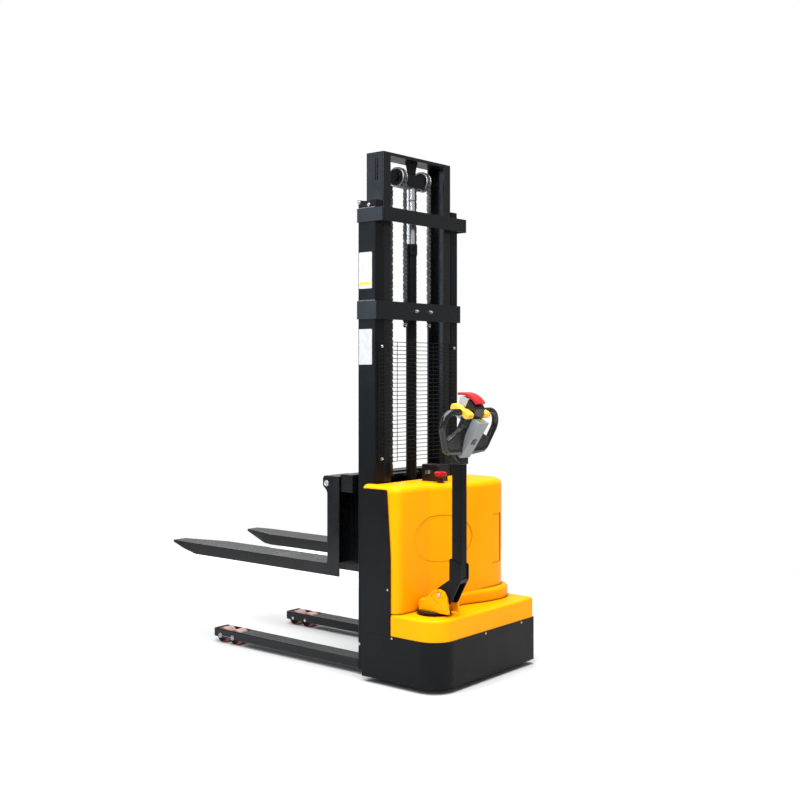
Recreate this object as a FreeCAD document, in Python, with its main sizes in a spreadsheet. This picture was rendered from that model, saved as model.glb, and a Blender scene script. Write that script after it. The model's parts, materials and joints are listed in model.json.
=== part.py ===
import FreeCAD, Part
import math
import os
import re
import Sketcher

# Pedestrian electric stacker with straddle legs and a two stage mast.
# Frame: +X is the truck's right, +Y points along the forks, +Z is up.
# The origin is on the floor, in the middle of the whole machine's box.

Vector = FreeCAD.Vector

DIMS = {
    # chassis
    "half_width": 368, "rear_face": -838, "base_front": -412, "base_floor": 23,
    "base_top": 219, "sheet": 6, "corner_left": 110, "corner_right": 20,
    "pocket_half": 310, "plate_top": 846, "plate_rear": -574, "plate_rear_high": -553,
    "plate_bend": 555, "bulkhead_back": -590, "bulkhead_top": 700,
    # covers
    "cover_wall": 6, "low_cover_top": 311, "cover_top": 860, "cover_round": 32,
    "cover_gap": 3, "skirt_top": 368, "recess": 3.4, "oval_x": -98, "oval_z": 616,
    "oval_half_width": 158, "oval_half_height": 105, "cover_seam": 3,
    # straddle legs and load rollers
    "leg_outer": 300, "leg_inner": 207, "leg_under": 27, "leg_top": 70, "leg_tip": 640,
    "leg_wall": 8, "slot_back": 452, "roller_radius": 37, "roller_width": 70,
    "roller_front": 591, "roller_back": 502, "roller_bore": 8.5, "axle_radius": 8,
    # outer mast
    "mast_rear": -437, "mast_front": -331, "outer_face": 302, "outer_tip": 249,
    "web": 8, "flange": 12, "outer_foot": 27, "outer_top": 2083, "band": 6,
    "top_bar_rear": -488, "top_bar_low": 2021, "mid_bar_rear": -453,
    "mid_bar_low": 1589, "mid_bar_top": 1670,
    # inner mast
    "inner_face": 247, "inner_tip": 197, "inner_foot": 320, "inner_top": 2340,
    "crown": 15, "guide_radius": 40, "mast_mid": -384, "groove": 5,
    # lift cylinder, crosshead and chains
    "rod_line": -394, "rod_radius": 17.5, "barrel_radius": 24.5, "barrel_bore": 20,
    "gland_radius": 28, "gland_low": 1895, "gland_top": 1945, "barrel_foot": 75,
    "wheel_line": -386, "wheel_height": 2246, "pitch_radius": 42, "chain_half": 5,
    "chain_mid": 87, "chain_half_width": 10, "crosshead_low": 2205, "crosshead_top": 2262,
    # carriage and forks
    "side_plate_in": 182, "side_plate_out": 192, "bar_rear": -297, "bar_front": -224,
    "bar_low": 810, "bar_top": 890, "low_bar_low": 472, "low_bar_top": 540,
    "fork_outer": 310, "fork_inner": 152, "fork_top": 480, "fork_depth": 55,
    "fork_skin": 8, "fork_cheek": 6, "shank_front": -149, "fork_tip": 962,
    "lobe_height": 844, "lobe_line": -144, "lobe_radius": 22,
    # drive unit, steering and caster
    "steer_x": -216, "steer_y": -698, "wheel_radius": 105, "hood_radius": 67, "cheek": 42,
    "ring_radius": 73, "ring_top": 325, "pivot_y": -754, "pivot_z": 402,
    "caster_x": 226, "caster_y": -700, "caster_trail": 30, "caster_radius": 65,
    # tiller
    "tube_half": 22, "tube_front": -808, "tube_rear": -858, "tube_foot": 478,
    "tube_top": 984, "head_y": -833, "head_z": 1000, "head_tilt": 28,
    "loop_y": -876, "loop_z": 1086, "loop_tilt": 12, "grip_radius": 14.5,
    # guard
    "guard_half": 290, "guard_low": 950, "guard_high": 1490, "wire": 3,
    # from the mast's middle plane to the middle of the whole machine's box
    "centre_x": 22.95,
}

doc = FreeCAD.newDocument("Stacker")
sheet = doc.addObject("Spreadsheet::Sheet", "Dims")
for row, (alias, value) in enumerate(DIMS.items(), start=1):
    sheet.set("A%d" % row, alias)
    sheet.set("B%d" % row, str(value))
    sheet.setAlias("B%d" % row, alias)
doc.recompute()

NODES = []


def arc_points(centre, radius, first, last, steps):
    """Points along an arc, as pairs of numbers in text."""
    points = []
    for index in range(steps + 1):
        angle = math.radians(first + (last - first) * index / steps)
        points.append(("%.4f" % (centre[0] + radius * math.cos(angle)),
                       "%.4f" % (centre[1] + radius * math.sin(angle))))
    return points


def cells(text):
    """Turn the names in an expression into references to the sheet's cells."""
    def refer(match):
        word = match.group(0)
        return "Dims." + word if word in DIMS else word
    return re.sub(r"[A-Za-z_]+", refer, str(text))


def number(text):
    """The value of an expression in sheet names, as a float."""
    return float(sheet.evalExpression(cells(text)))


def bind(thing, **expressions):
    for prop, text in expressions.items():
        thing.setExpression(prop.replace("__", "."), cells(text))


def node(thing, name):
    """Name a finished piece and carry it from the mast's middle plane to the frame's."""
    own = dict(thing.ExpressionEngine).get(".Placement.Base.x") or "0"
    thing.setExpression("Placement.Base.x", "%s + Dims.centre_x" % own)
    thing.Label = name
    NODES.append(thing)
    return thing


def place(thing, x="0", y="0", z="0", turn=None, angle="0"):
    """Put a thing at a point, turned about an axis by an angle."""
    axis = Vector(*turn) if turn else Vector(0, 0, 1)
    thing.Placement = FreeCAD.Placement(Vector(), FreeCAD.Rotation(axis, number(angle)))
    bind(thing, Placement__Base__x=x, Placement__Base__y=y, Placement__Base__z=z)
    return thing


def block(x, y, z):
    """A box from (low, high) pairs of expressions on the three axes."""
    thing = doc.addObject("Part::Box", "Block")
    bind(thing, Length="(%s) - (%s)" % (x[1], x[0]), Width="(%s) - (%s)" % (y[1], y[0]),
         Height="(%s) - (%s)" % (z[1], z[0]))
    return place(thing, x[0], y[0], z[0])


def rod(axis, start, centre, radius, length):
    """A cylinder along an axis; centre holds the two other coordinates in order."""
    thing = doc.addObject("Part::Cylinder", "Rod")
    bind(thing, Radius=radius, Height=length)
    if axis == "x":
        return place(thing, start, centre[0], centre[1], (0, 1, 0), "90")
    if axis == "y":
        return place(thing, centre[0], start, centre[1], (1, 0, 0), "-90")
    return place(thing, centre[0], centre[1], start)


def joined(parts):
    thing = doc.addObject("Part::MultiFuse", "Joined")
    thing.Shapes = parts
    thing.Refine = True
    return thing


def less(base, tools):
    thing = doc.addObject("Part::Cut", "Less")
    thing.Base = base
    thing.Tool = tools[0] if len(tools) == 1 else joined(tools)
    thing.Refine = True
    return thing


def group(parts):
    thing = doc.addObject("Part::Compound", "Group")
    thing.Links = parts
    return thing


def plane_of(body, role):
    return [item for item in body.Origin.OriginFeatures if item.Role == role][0]


def fixed_corner(sketch, index, point):
    """Hold one corner of a sketch at a point given by two expressions."""
    for kind, text, axis in (("DistanceX", point[0], -2), ("DistanceY", point[1], -1)):
        value = number(text)
        if abs(value) < 1e-9:
            sketch.addConstraint(Sketcher.Constraint("PointOnObject", index, 1, axis))
            continue
        spot = sketch.addConstraint(Sketcher.Constraint(kind, -1, 1, index, 1, value))
        sketch.setExpression("Constraints[%d]" % spot, cells(text))


def outline(plane, start, depth, points, rounds=()):
    """A body padded from a closed outline; rounds lists (corner numbers, radius)."""
    body = doc.addObject("PartDesign::Body", "Body")
    sketch = body.newObject("Sketcher::SketchObject", "Outline")
    sketch.AttachmentSupport = [(plane_of(body, plane + "_Plane"), "")]
    sketch.MapMode = "FlatFace"
    sign = "-1 * " if plane == "XZ" else ""
    bind(sketch, AttachmentOffset__Base__z=sign + "(%s)" % start)
    flat = [(number(x), number(y)) for x, y in points]
    count = len(flat)
    for index in range(count):
        ends = (flat[index], flat[(index + 1) % count])
        sketch.addGeometry(Part.LineSegment(Vector(*ends[0], 0), Vector(*ends[1], 0)), False)
    for index in range(count):
        sketch.addConstraint(Sketcher.Constraint("Coincident", index, 2, (index + 1) % count, 1))
    for index, point in enumerate(points):
        fixed_corner(sketch, index, point)
    pad = body.newObject("PartDesign::Pad", "Pad")
    pad.Profile = sketch
    pad.Reversed = plane == "XZ"
    bind(pad, Length=depth)
    doc.recompute()
    base = pad
    for corners, radius in rounds:
        base = round_edges(body, base, radius, along_corners(plane, flat, corners))
    body.Tip = base
    return body


def along_corners(plane, flat, corners):
    """A test for the edges that run through the given corners of an outline."""
    pick = {"XY": (0, 1), "XZ": (0, 2), "YZ": (1, 2)}[plane]
    wanted = [flat[corner] for corner in corners]

    def test(edge):
        ends = [vertex.Point for vertex in edge.Vertexes]
        if len(ends) != 2:
            return False
        spots = [(end[pick[0]], end[pick[1]]) for end in ends]
        return math.dist(*spots) < 1e-4 and any(math.dist(spots[0], w) < 1e-3 for w in wanted)
    return test


def round_edges(body, base, radius, test):
    """Fillet the edges of a body's feature that pass a test."""
    names = ["Edge%d" % (i + 1) for i, edge in enumerate(base.Shape.Edges) if test(edge)]
    fillet = body.newObject("PartDesign::Fillet", "Fillet")
    fillet.Base = (base, names)
    bind(fillet, Radius=radius)
    body.Tip = fillet
    doc.recompute()
    return fillet


def soften(thing, radius, test):
    """Fillet the edges of any feature that pass a test."""
    doc.recompute()
    edges = [(i + 1, radius, radius) for i, edge in enumerate(thing.Shape.Edges) if test(edge)]
    fillet = doc.addObject("Part::Fillet", "Soft")
    fillet.Base = thing
    fillet.Edges = edges
    doc.recompute()
    return fillet


def at_height(level, tolerance=0.01):
    def test(edge):
        box = edge.BoundBox
        return abs(box.ZMin - level) < tolerance and abs(box.ZMax - level) < tolerance
    return test


def mirrored_x(text, side):
    """An X expression on the left (-1) or right (+1) half of the machine."""
    return "%d * (%s)" % (side, text)


def span_x(low, high, side):
    """A (low, high) pair in X for a range of distances from the middle plane."""
    pair = (mirrored_x(low, side), mirrored_x(high, side))
    return pair if side > 0 else (pair[1], pair[0])


SIDES = (("left", -1), ("right", 1))


# ---------------------------------------------------------------- chassis

def chassis_base():
    """Bent skirt plate with a deck, a pocket for the mast and a bulkhead."""
    outer = outline("XY", "base_floor", "base_top - base_floor", [
        ("-half_width", "base_front"), ("-half_width", "rear_face"),
        ("half_width", "rear_face"), ("half_width", "base_front"),
        ("pocket_half", "base_front"), ("pocket_half", "mast_rear"),
        ("-pocket_half", "mast_rear"), ("-pocket_half", "base_front")],
        [((1,), "corner_left"), ((2,), "corner_right")])
    inner = outline("XY", "base_floor - 1", "base_top - sheet - base_floor + 1", [
        ("-half_width + sheet", "base_front - sheet"),
        ("-half_width + sheet", "rear_face + sheet"),
        ("half_width - sheet", "rear_face + sheet"),
        ("half_width - sheet", "base_front - sheet"),
        ("pocket_half + sheet", "base_front - sheet"),
        ("pocket_half + sheet", "mast_rear - sheet"),
        ("-pocket_half - sheet", "mast_rear - sheet"),
        ("-pocket_half - sheet", "base_front - sheet")],
        [((1,), "corner_left - sheet"), ((2,), "corner_right - sheet")])
    turret_hole = rod("z", "base_floor", ("steer_x", "steer_y"), "ring_radius + 12", "base_top")
    bulkhead = block(("-330", "330"), ("bulkhead_back", "bulkhead_back + sheet"),
                     ("base_top - 1", "bulkhead_top"))
    return less(joined([outer, bulkhead]), [inner, turret_hole])


def side_plate(side):
    plate = outline("YZ", mirrored_x("half_width - sheet / 2", side) + " - sheet / 2", "sheet", [
        ("base_front", "base_top"), ("plate_rear", "base_top"), ("plate_rear", "plate_bend"),
        ("plate_rear_high", "plate_top"), ("base_front", "plate_top")],
        [((3,), "6"), ((4,), "6")])
    return plate


def cover_outline(shrink):
    """Plan of the upper cover, with a hollow at the left for the tiller's turret."""
    return [("-361 + %s" % shrink, "-612 + %s" % shrink),
            ("-150", "-622 + %s" % shrink), ("-60", "-670 + %s" % shrink),
            ("100", "-712 + %s" % shrink), ("235", "-722 + %s" % shrink),
            ("305 - (%s) / 2" % shrink, "-694 + %s" % shrink),
            ("358 - %s" % shrink, "-628 + (%s) / 2" % shrink)]


def cover_rim(level):
    """A test for the rear and side edges of the cover's top."""
    def test(edge):
        box = edge.BoundBox
        side = box.XLength < 1 and abs(box.XMin) > 340
        return at_height(number(level))(edge) and (box.YMax < number("mast_rear") - 20 or side)
    return test


def cover_recesses():
    """What is sunk in the cover's rear: a wide oval and a panel at the right corner."""
    core = outline("XY", "low_cover_top", "cover_top - low_cover_top",
                   cover_outline("recess") + [("358 - recess", "base_front + 20"),
                                              ("-361 + recess", "base_front + 20")],
                   [((0,), "39"), ((1, 2, 6), "57"), ((3, 4), "150"), ((5,), "87")])
    oval = doc.addObject("Part::Ellipse", "Oval")
    bind(oval, MajorRadius="oval_half_width", MinorRadius="oval_half_height")
    place(oval, "oval_x", "-800", "oval_z", (1, 0, 0), "90")
    prism = doc.addObject("Part::Extrusion", "OvalPrism")
    prism.Base = oval
    prism.Dir = Vector(0, 1, 0)
    prism.LengthFwd = 250
    prism.Solid = True
    panel = soften(block(("188", "268"), ("-800", "-660"), ("476", "702")), 8,
                   lambda edge: edge.BoundBox.YLength > 100)
    return less(joined([prism, panel]), [core])


def upper_cover():
    """Moulded hood over the battery, open towards the mast."""
    walls = outline("XY", "low_cover_top + cover_seam",
                    "cover_top - low_cover_top - cover_seam",
                    cover_outline("0") + [
                        ("358", "base_front"), ("pocket_half + 2", "base_front"),
                        ("pocket_half + 2", "mast_rear - 19"),
                        ("-pocket_half - 2", "mast_rear - 19"),
                        ("-pocket_half - 2", "base_front"), ("-361", "base_front")],
                    [((0,), "42"), ((1, 2, 6), "60"), ((3, 4), "150"), ((5,), "90")])
    round_edges(walls, walls.Tip, "cover_round", cover_rim("cover_top"))
    skirt = outline("XY", "low_cover_top + cover_seam",
                    "skirt_top - low_cover_top - cover_seam", [
        ("-96", "-652"), ("-96", "-678"), ("20", "-698"), ("120", "-734"),
        ("235", "-750"), ("318", "-722"), ("366", "-662"), ("366", "-578"),
        ("340", "-578"), ("340", "-652")],
        [((1,), "14"), ((2, 3, 4), "150"), ((5,), "90"), ((6,), "60")])
    skirt_level = number("skirt_top")

    def skirt_rim(edge):
        box = edge.BoundBox
        return at_height(skirt_level)(edge) and (box.YMin < -653 or box.XMin > 341)
    round_edges(skirt, skirt.Tip, "18", skirt_rim)
    hollow = outline("XY", "low_cover_top - 1", "cover_top - cover_wall - low_cover_top + 1",
                     cover_outline("cover_wall") + [
                         ("358 - cover_wall", "base_front + 20"),
                         ("-361 + cover_wall", "base_front + 20")],
                     [((0,), "37"), ((1, 2, 6), "55"), ((3, 4), "150"), ((5,), "85")])
    round_edges(hollow, hollow.Tip, "cover_round - cover_wall",
                cover_rim("cover_top - cover_wall"))
    return less(joined([walls, skirt]), [hollow, cover_recesses()])


def lower_cover():
    """Low moulded cover around the turret, with a hole for the steering ring."""
    side = "half_width - cover_gap"
    back = "rear_face + cover_gap"
    shell = outline("XY", "base_top", "low_cover_top - base_top", [
        ("-(%s)" % side, "plate_rear - 2"), ("-(%s)" % side, back), (side, back),
        (side, "plate_rear - 2"), ("334", "plate_rear - 2"), ("334", "bulkhead_back - 2"),
        ("-334", "bulkhead_back - 2"), ("-334", "plate_rear - 2")],
        [((1,), "corner_left - 4"), ((2,), "corner_right + 4")])
    level = number("low_cover_top")

    def rim(edge):
        box = edge.BoundBox
        edge_line = number("plate_rear") - 3
        return at_height(level)(edge) and (box.YMin < -640 or abs(box.XMin) > 350) \
            and box.YMin < edge_line
    round_edges(shell, shell.Tip, "12", rim)
    hollow = outline("XY", "base_top - 1", "low_cover_top - cover_wall - base_top + 1", [
        ("-(%s) + cover_wall" % side, "plate_rear + 20"),
        ("-(%s) + cover_wall" % side, back + " + cover_wall"),
        ("%s - cover_wall" % side, back + " + cover_wall"),
        ("%s - cover_wall" % side, "plate_rear + 20")],
        [((1,), "corner_left - 10"), ((2,), "corner_right")])
    hole = rod("z", "base_top", ("steer_x", "steer_y"), "ring_radius + 2", "200")
    return less(shell, [hollow, hole])


def screw(axis, sign, spot, across):
    """A pan head screw head standing on a face."""
    head = rod(axis, "%s - %s" % (spot, "3" if sign < 0 else "0"), across, "5", "3")
    return head


def mounting_screws():
    """Cover screws, guard screws and the two screws of the chain anchor plate."""
    heads = [
        screw("x", -1, "-half_width", ("plate_rear + 12", "417")),
        screw("x", -1, "-half_width", ("plate_rear - 11", "base_top - 8")),
        screw("x", 1, "half_width", ("plate_rear + 12", "417")),
        screw("x", 1, "half_width", ("plate_rear - 11", "base_top - 8")),
        screw("y", -1, "rear_face", ("-30", "base_top - 8")),
        screw("y", -1, "rear_face", ("250", "base_top - 8"))]
    for side in (-1, 1):
        for height in ("guard_high - 22", "guard_low + 18"):
            heads.append(rod("y", "mast_rear - 12", (mirrored_x("266", side), height), "7", "8"))
        heads.append(rod("y", "mid_bar_rear - 14", ("16 + %d" % (side * 52), "1632"), "8", "14"))
    return group(heads)


# ---------------------------------------------------------------- legs

def leg(side):
    """Straddle leg: a flat box beam, open at its end for two load rollers."""
    beam = outline("YZ", span_x("leg_inner", "leg_outer", side)[0], "leg_outer - leg_inner", [
        ("mast_front", "leg_under"), ("leg_tip", "leg_under"),
        ("leg_tip", "leg_top"), ("mast_front", "leg_top")],
        [((1, 2), "4")])
    tip = number("leg_tip")

    def long_rim(edge):
        box = edge.BoundBox
        return at_height(number("leg_top"))(edge) and box.YLength > 500 and box.YMax < tip
    round_edges(beam, beam.Tip, "6", long_rim)
    slot = block(span_x("leg_inner + leg_wall", "leg_outer - leg_wall", side),
                 ("slot_back", "leg_tip - leg_wall"), ("leg_under - 1", "leg_top + 1"))
    core = block(span_x("leg_inner + leg_wall", "leg_outer - leg_wall", side),
                 ("mast_front - 1", "slot_back - 10"), ("leg_under - 1", "leg_top - 8"))
    holes = [rod("x", span_x("leg_inner - 1", "leg_outer", side)[0], (line, "roller_radius"),
                 "axle_radius", "leg_outer - leg_inner + 2")
             for line in ("roller_front", "roller_back")]
    return less(beam, [slot, core] + holes)


def load_axles():
    """Pins through the leg ends, one for each load roller."""
    pins = []
    for _name, side in SIDES:
        for line in ("roller_front", "roller_back"):
            start = span_x("leg_inner - 1", "leg_outer + 1.5", side)[0]
            pins.append(rod("x", start, (line, "roller_radius"), "axle_radius",
                            "leg_outer - leg_inner + 2.5"))
    return group(pins)


def load_roller(side, line):
    """Polyurethane roller on a plain bore."""
    middle = mirrored_x("(leg_inner + leg_outer) / 2", side)
    start = "%s - roller_width / 2" % middle
    body = rod("x", start, (line, "roller_radius"), "roller_radius", "roller_width")
    bore = rod("x", start + " - 1", (line, "roller_radius"), "roller_bore", "roller_width + 2")
    return less(body, [bore])


# ---------------------------------------------------------------- mast

def channel(side, face, tip, foot, height):
    """A C section upright, its web outside and its flanges towards the middle."""
    x_face, x_web, x_tip = [mirrored_x(text, side) for text in (face, face + " - web", tip)]
    corners = [(x_face, "mast_rear"), (x_tip, "mast_rear"), (x_tip, "mast_rear + flange"),
               (x_web, "mast_rear + flange"), (x_web, "mast_front - flange"),
               (x_tip, "mast_front - flange"), (x_tip, "mast_front"), (x_face, "mast_front")]
    return outline("XY", foot, height, corners, [((0, 7), "7"), ((1, 6), "3")])


def outer_mast(side):
    """Outer upright with a small stop bracket standing on its head."""
    upright = channel(side, "outer_face", "outer_tip", "outer_foot", "outer_top - outer_foot")
    stop = block(span_x("outer_tip + 4", "outer_face - 4", side), ("mast_rear + 2", "mast_rear + 40"),
                 ("outer_top - 2", "outer_top + 36"))
    if side > 0:
        return joined([upright, stop])
    tab = outline("YZ", "-outer_face + 2", "8", [
        ("mast_rear + 30", "outer_top - 2"), ("mast_front - 4", "outer_top - 2"),
        ("mast_front + 4", "outer_top + 40"), ("mast_rear + 52", "outer_top + 32"),
        ("mast_rear + 30", "outer_top + 20")])
    return joined([upright, stop, tab])


def strap(rear, low, high, depth):
    """A crossbar bent round the back of the outer mast, with its two side returns."""
    outer = outline("XY", low, "(%s) - (%s)" % (high, low), [
        ("-outer_face - band", rear), ("outer_face + band", rear),
        ("outer_face + band", "mast_front"), ("outer_face", "mast_front"),
        ("outer_face", "%s + %s" % (rear, depth)), ("-outer_face", "%s + %s" % (rear, depth)),
        ("-outer_face", "mast_front"), ("-outer_face - band", "mast_front")],
        [((0, 1), "9")])
    return outer


def mast_top_crossbar():
    return strap("top_bar_rear", "top_bar_low", "outer_top", "band")


def mast_mid_crossbar():
    """Middle crossbar with two shelves for the chain anchors."""
    bar = strap("mid_bar_rear", "mid_bar_low", "mid_bar_top", "16")
    anchors = []
    for side in (-1, 1):
        anchors.append(block(span_x("55", "125", side), ("mast_rear - 1", "mast_rear + 24"),
                             ("mid_bar_low + 11", "mid_bar_low + 23")))
        spot = (mirrored_x("chain_mid", side), "wheel_line - pitch_radius")
        anchors.append(rod("z", "mid_bar_low - 32", spot, "6", "1676 - mid_bar_low + 31"))
        anchors.append(rod("z", "mid_bar_low - 6", spot, "10", "17"))
    return joined([bar] + anchors)


def mast_foot():
    """Tie at the bottom of the mast that carries the lift cylinder."""
    bar = block(("-outer_tip", "outer_tip"), ("mast_rear + 8", "mast_front - 8"),
                ("outer_foot + 3", "barrel_foot - 12"))
    seat = rod("z", "outer_foot + 3", ("0", "rod_line"), "34", "barrel_foot - outer_foot - 3")
    return joined([bar, seat])


def mast_guard():
    """Welded wire guard behind the mast."""
    wires = []
    rows = 30
    for index in range(rows):
        height = "guard_low + %d * (guard_high - guard_low - wire) / %d" % (index, rows - 1)
        wires.append(block(("-guard_half", "guard_half"), ("mast_rear - wire", "mast_rear"),
                           (height, height + " + wire")))
    for index in range(5):
        start = "-guard_half + %d * 132" % index
        wires.append(block((start, start + " + wire"), ("mast_rear - wire - 1", "mast_rear - 1"),
                           ("guard_low", "guard_high")))
    return joined(wires)


def inner_mast(side):
    """Inner upright, with two upright grooves in its web near the top."""
    upright = channel(side, "inner_face", "inner_tip", "inner_foot",
                      "inner_top - crown - inner_foot")
    grooves = [block(span_x("inner_face - groove", "inner_face + 1", side), depth,
                     ("2213", "2310")) for depth in (("-402", "-397"), ("-391", "-386"))]
    return less(upright, grooves)


def inner_mast_crown():
    return outline("XY", "inner_top - crown", "crown", [
        ("-inner_face", "mast_rear"), ("inner_face", "mast_rear"),
        ("inner_face", "mast_front"), ("-inner_face", "mast_front")],
        [((0, 1, 2, 3), "7")])


def inner_mast_tie():
    """Flat tie between the feet of the inner uprights."""
    return block(("-inner_face + web", "inner_face - web"), ("mast_front - 14", "mast_front - 2"),
                 ("inner_foot - 25", "inner_foot"))


def guide_rollers(face, depth, heights):
    """Steel guide rollers with their stub pins, on both sides."""
    rollers = []
    for _name, side in SIDES:
        for height in heights:
            pin = rod("x", span_x(face, face + " + 6", side)[0], ("mast_mid", height), "15", "6")
            wheel = rod("x", span_x(face + " + 4", "%s + %s" % (face, depth), side)[0],
                        ("mast_mid", height), "guide_radius", "%s - 4" % depth)
            rollers.append(joined([pin, wheel]))
    return group(rollers)


# ---------------------------------------------------------------- lift gear

def lift_cylinder():
    """Cylinder barrel with its gland, bored for the rod."""
    spot = ("0", "rod_line")
    barrel = rod("z", "barrel_foot", spot, "barrel_radius", "gland_low - barrel_foot + 1")
    gland = rod("z", "gland_low", spot, "gland_radius", "gland_top - gland_low")
    bore = rod("z", "barrel_foot + 18", spot, "barrel_bore", "gland_low - barrel_foot - 18")
    neck = rod("z", "gland_low - 1", spot, "rod_radius + 0.3", "80")
    return less(joined([barrel, gland]), [bore, neck])


def piston_rod():
    spot = ("0", "rod_line")
    shaft = rod("z", "475", spot, "rod_radius", "crosshead_low - 475")
    piston = rod("z", "455", spot, "barrel_bore - 0.35", "45")
    return joined([shaft, piston])


def crosshead():
    """Bar across the rod's end, with the chain wheel pins and a hanger to the crown."""
    line = "wheel_line"
    bar = block(("-68", "68"), ("rod_line - 26", "rod_line + 34"),
                ("crosshead_low", "crosshead_top"))
    hanger = block(("-36", "36"), ("rod_line - 9", "rod_line + 9"),
                   ("crosshead_top - 1", "inner_top - crown"))
    pin = rod("x", "-114", (line, "wheel_height"), "12", "228")
    caps = [rod("x", start, (line, "wheel_height"), "18", "8") for start in ("-114", "106")]
    return joined([bar, hanger, pin] + caps)


def chain_wheel(side):
    """Flanged wheel that the lift chain runs over."""
    centre = ("wheel_line", "wheel_height")
    root = rod("x", span_x("70", "104", side)[0], centre, "pitch_radius - chain_half - 0.5", "34")
    flanges = [rod("x", span_x(low, low + " + 5.5", side)[0], centre, "46.5", "5.5")
               for low in ("70", "98.5")]
    bore = rod("x", span_x("69", "105", side)[0], centre, "12.4", "36")
    return less(joined([root] + flanges), [bore])


def chain_runs(line, low):
    """The two straight runs of lift chain on one side of the wheels."""
    runs = []
    for _name, side in SIDES:
        runs.append(block(span_x("chain_mid - chain_half_width", "chain_mid + chain_half_width",
                                 side),
                          ("%s - chain_half" % line, "%s + chain_half" % line),
                          (low, "wheel_height")))
    return group(runs)


def chain_wraps():
    """The half turns of chain over the wheels."""
    wraps = []
    for _name, side in SIDES:
        start = span_x("chain_mid - chain_half_width", "0", side)[0]
        if side < 0:
            start = "-chain_mid - chain_half_width"
        centre = ("wheel_line", "wheel_height")
        outer = rod("x", start, centre, "pitch_radius + chain_half", "2 * chain_half_width")
        inner = rod("x", start + " - 1", centre, "pitch_radius - chain_half",
                    "2 * chain_half_width + 2")
        lower = block((start + " - 1", start + " + 2 * chain_half_width + 1"),
                      ("wheel_line - 60", "wheel_line + 60"),
                      ("wheel_height - 60", "wheel_height"))
        wraps.append(less(outer, [inner, lower]))
    return group(wraps)


# ---------------------------------------------------------------- carriage and forks

def carriage_frame():
    """Two plates between the uprights, joined by crossbars in front of the mast."""
    parts = []
    for _name, side in SIDES:
        parts.append(outline("YZ", span_x("side_plate_in", "side_plate_out", side)[0],
                             "side_plate_out - side_plate_in", [
            ("-425", "550"), ("-322", "550"), ("-290", "low_bar_low"),
            ("bar_front", "low_bar_low"), ("bar_front", "bar_top"), ("-425", "bar_top")],
            [((0, 5), "12")]))
    parts.append(block(("-300", "300"), ("bar_rear", "bar_front"), ("bar_low", "bar_top")))
    parts.append(block(("-200", "200"), ("bar_front - 38", "bar_front"),
                       ("low_bar_low", "low_bar_top")))
    parts.append(block(("-112", "112"), ("-356", "bar_rear + 1"), ("bar_top - 22", "bar_top - 6")))
    return joined(parts)


def fork(side):
    """Fork with an inverted U blade that drops over the leg, and a boxed shank."""
    width = span_x("fork_inner", "fork_outer", side)
    heel = "fork_top - fork_depth"
    shape = outline("YZ", width[0], "fork_outer - fork_inner", [
        ("bar_front", heel), ("775", heel), ("fork_tip", "fork_top - 12"),
        ("fork_tip", "fork_top"), ("shank_front", "fork_top"),
        ("shank_front", "lobe_height - 34"), ("lobe_line + lobe_radius", "lobe_height - 12"),
        ("lobe_line + lobe_radius", "880"), ("bar_front", "880")],
        [((4,), "10"), ((5,), "30"), ((6, 7), "16"), ((2,), "6"), ((3,), "5")])
    taper_out = outline("XY", heel + " - 1", "fork_depth + 2", [
        (mirrored_x("fork_outer + 1", side), "860"),
        (mirrored_x("fork_outer + 1", side), "fork_tip + 1"),
        (mirrored_x("fork_outer - 14", side), "fork_tip + 1")])
    taper_in = outline("XY", heel + " - 1", "fork_depth + 2", [
        (mirrored_x("fork_inner - 1", side), "700"),
        (mirrored_x("fork_inner - 1", side), "fork_tip + 1"),
        (mirrored_x("fork_inner + 70", side), "fork_tip + 1")])
    belly = block(span_x("fork_inner + fork_cheek", "fork_outer - fork_cheek", side),
                  ("bar_front - 1", "690"), (heel + " - 1", "fork_top - fork_skin"))
    column = block(span_x("fork_inner + fork_cheek", "fork_outer - fork_cheek", side),
                   ("bar_front - 1", "shank_front - 10"), ("fork_top - 60", "868"))
    return less(shape, [taper_out, taper_in, belly, column])


# ---------------------------------------------------------------- power pack

def battery():
    return soften(block(("-325", "325"), ("-580", "-450"), ("base_top", "440")), 4,
                  lambda edge: True)


def hydraulic_unit():
    """Oil tank with the pump motor beside it, bolted to the bulkhead."""
    tank = block(("100", "270"), ("-660", "bulkhead_back"), ("350", "530"))
    motor = rod("x", "-40", ("-632", "440"), "34", "141")
    foot = block(("0", "60"), ("-640", "bulkhead_back"), ("425", "455"))
    return joined([tank, motor, foot])


# ---------------------------------------------------------------- drive and steering

def steer(text, axis):
    """An expression measured from the steering axis."""
    return "steer_%s + (%s)" % (axis, text)


def drive_gearbox():
    """Turret disc with the side case that carries the drive wheel."""
    disc = rod("z", "base_top + 1", ("steer_x", "steer_y"), "ring_radius + 7", "12")
    case = block((steer("-62", "x"), steer("-40", "x")), (steer("-50", "y"), steer("50", "y")),
                 ("wheel_radius", "base_top + 2"))
    hub = rod("x", steer("-62", "x"), ("steer_y", "wheel_radius"), "50", "22")
    stub = rod("x", steer("-41", "x"), ("steer_y", "wheel_radius"), "20", "55")
    return joined([disc, case, hub, stub])


def drive_motor():
    body = rod("z", "base_top + 13", ("steer_x", "steer_y"), "68", "64")
    return soften(body, 4, at_height(number("base_top + 77")))


def drive_wheel():
    """Polyurethane tyred drive wheel, bored for the gearbox stub."""
    centre = ("steer_y", "wheel_radius")
    tyre = rod("x", steer("-36", "x"), centre, "wheel_radius", "70")
    dish = rod("x", steer("24", "x"), centre, "72", "20")
    bore = rod("x", steer("-37", "x"), centre, "20.4", "52")
    return less(soften(tyre, 5, lambda edge: True), [dish, bore])


def steer_ring():
    ring = rod("z", "base_top + 77", ("steer_x", "steer_y"), "ring_radius",
               "ring_top - base_top - 77")
    return soften(ring, 3, at_height(number("ring_top")))


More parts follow.
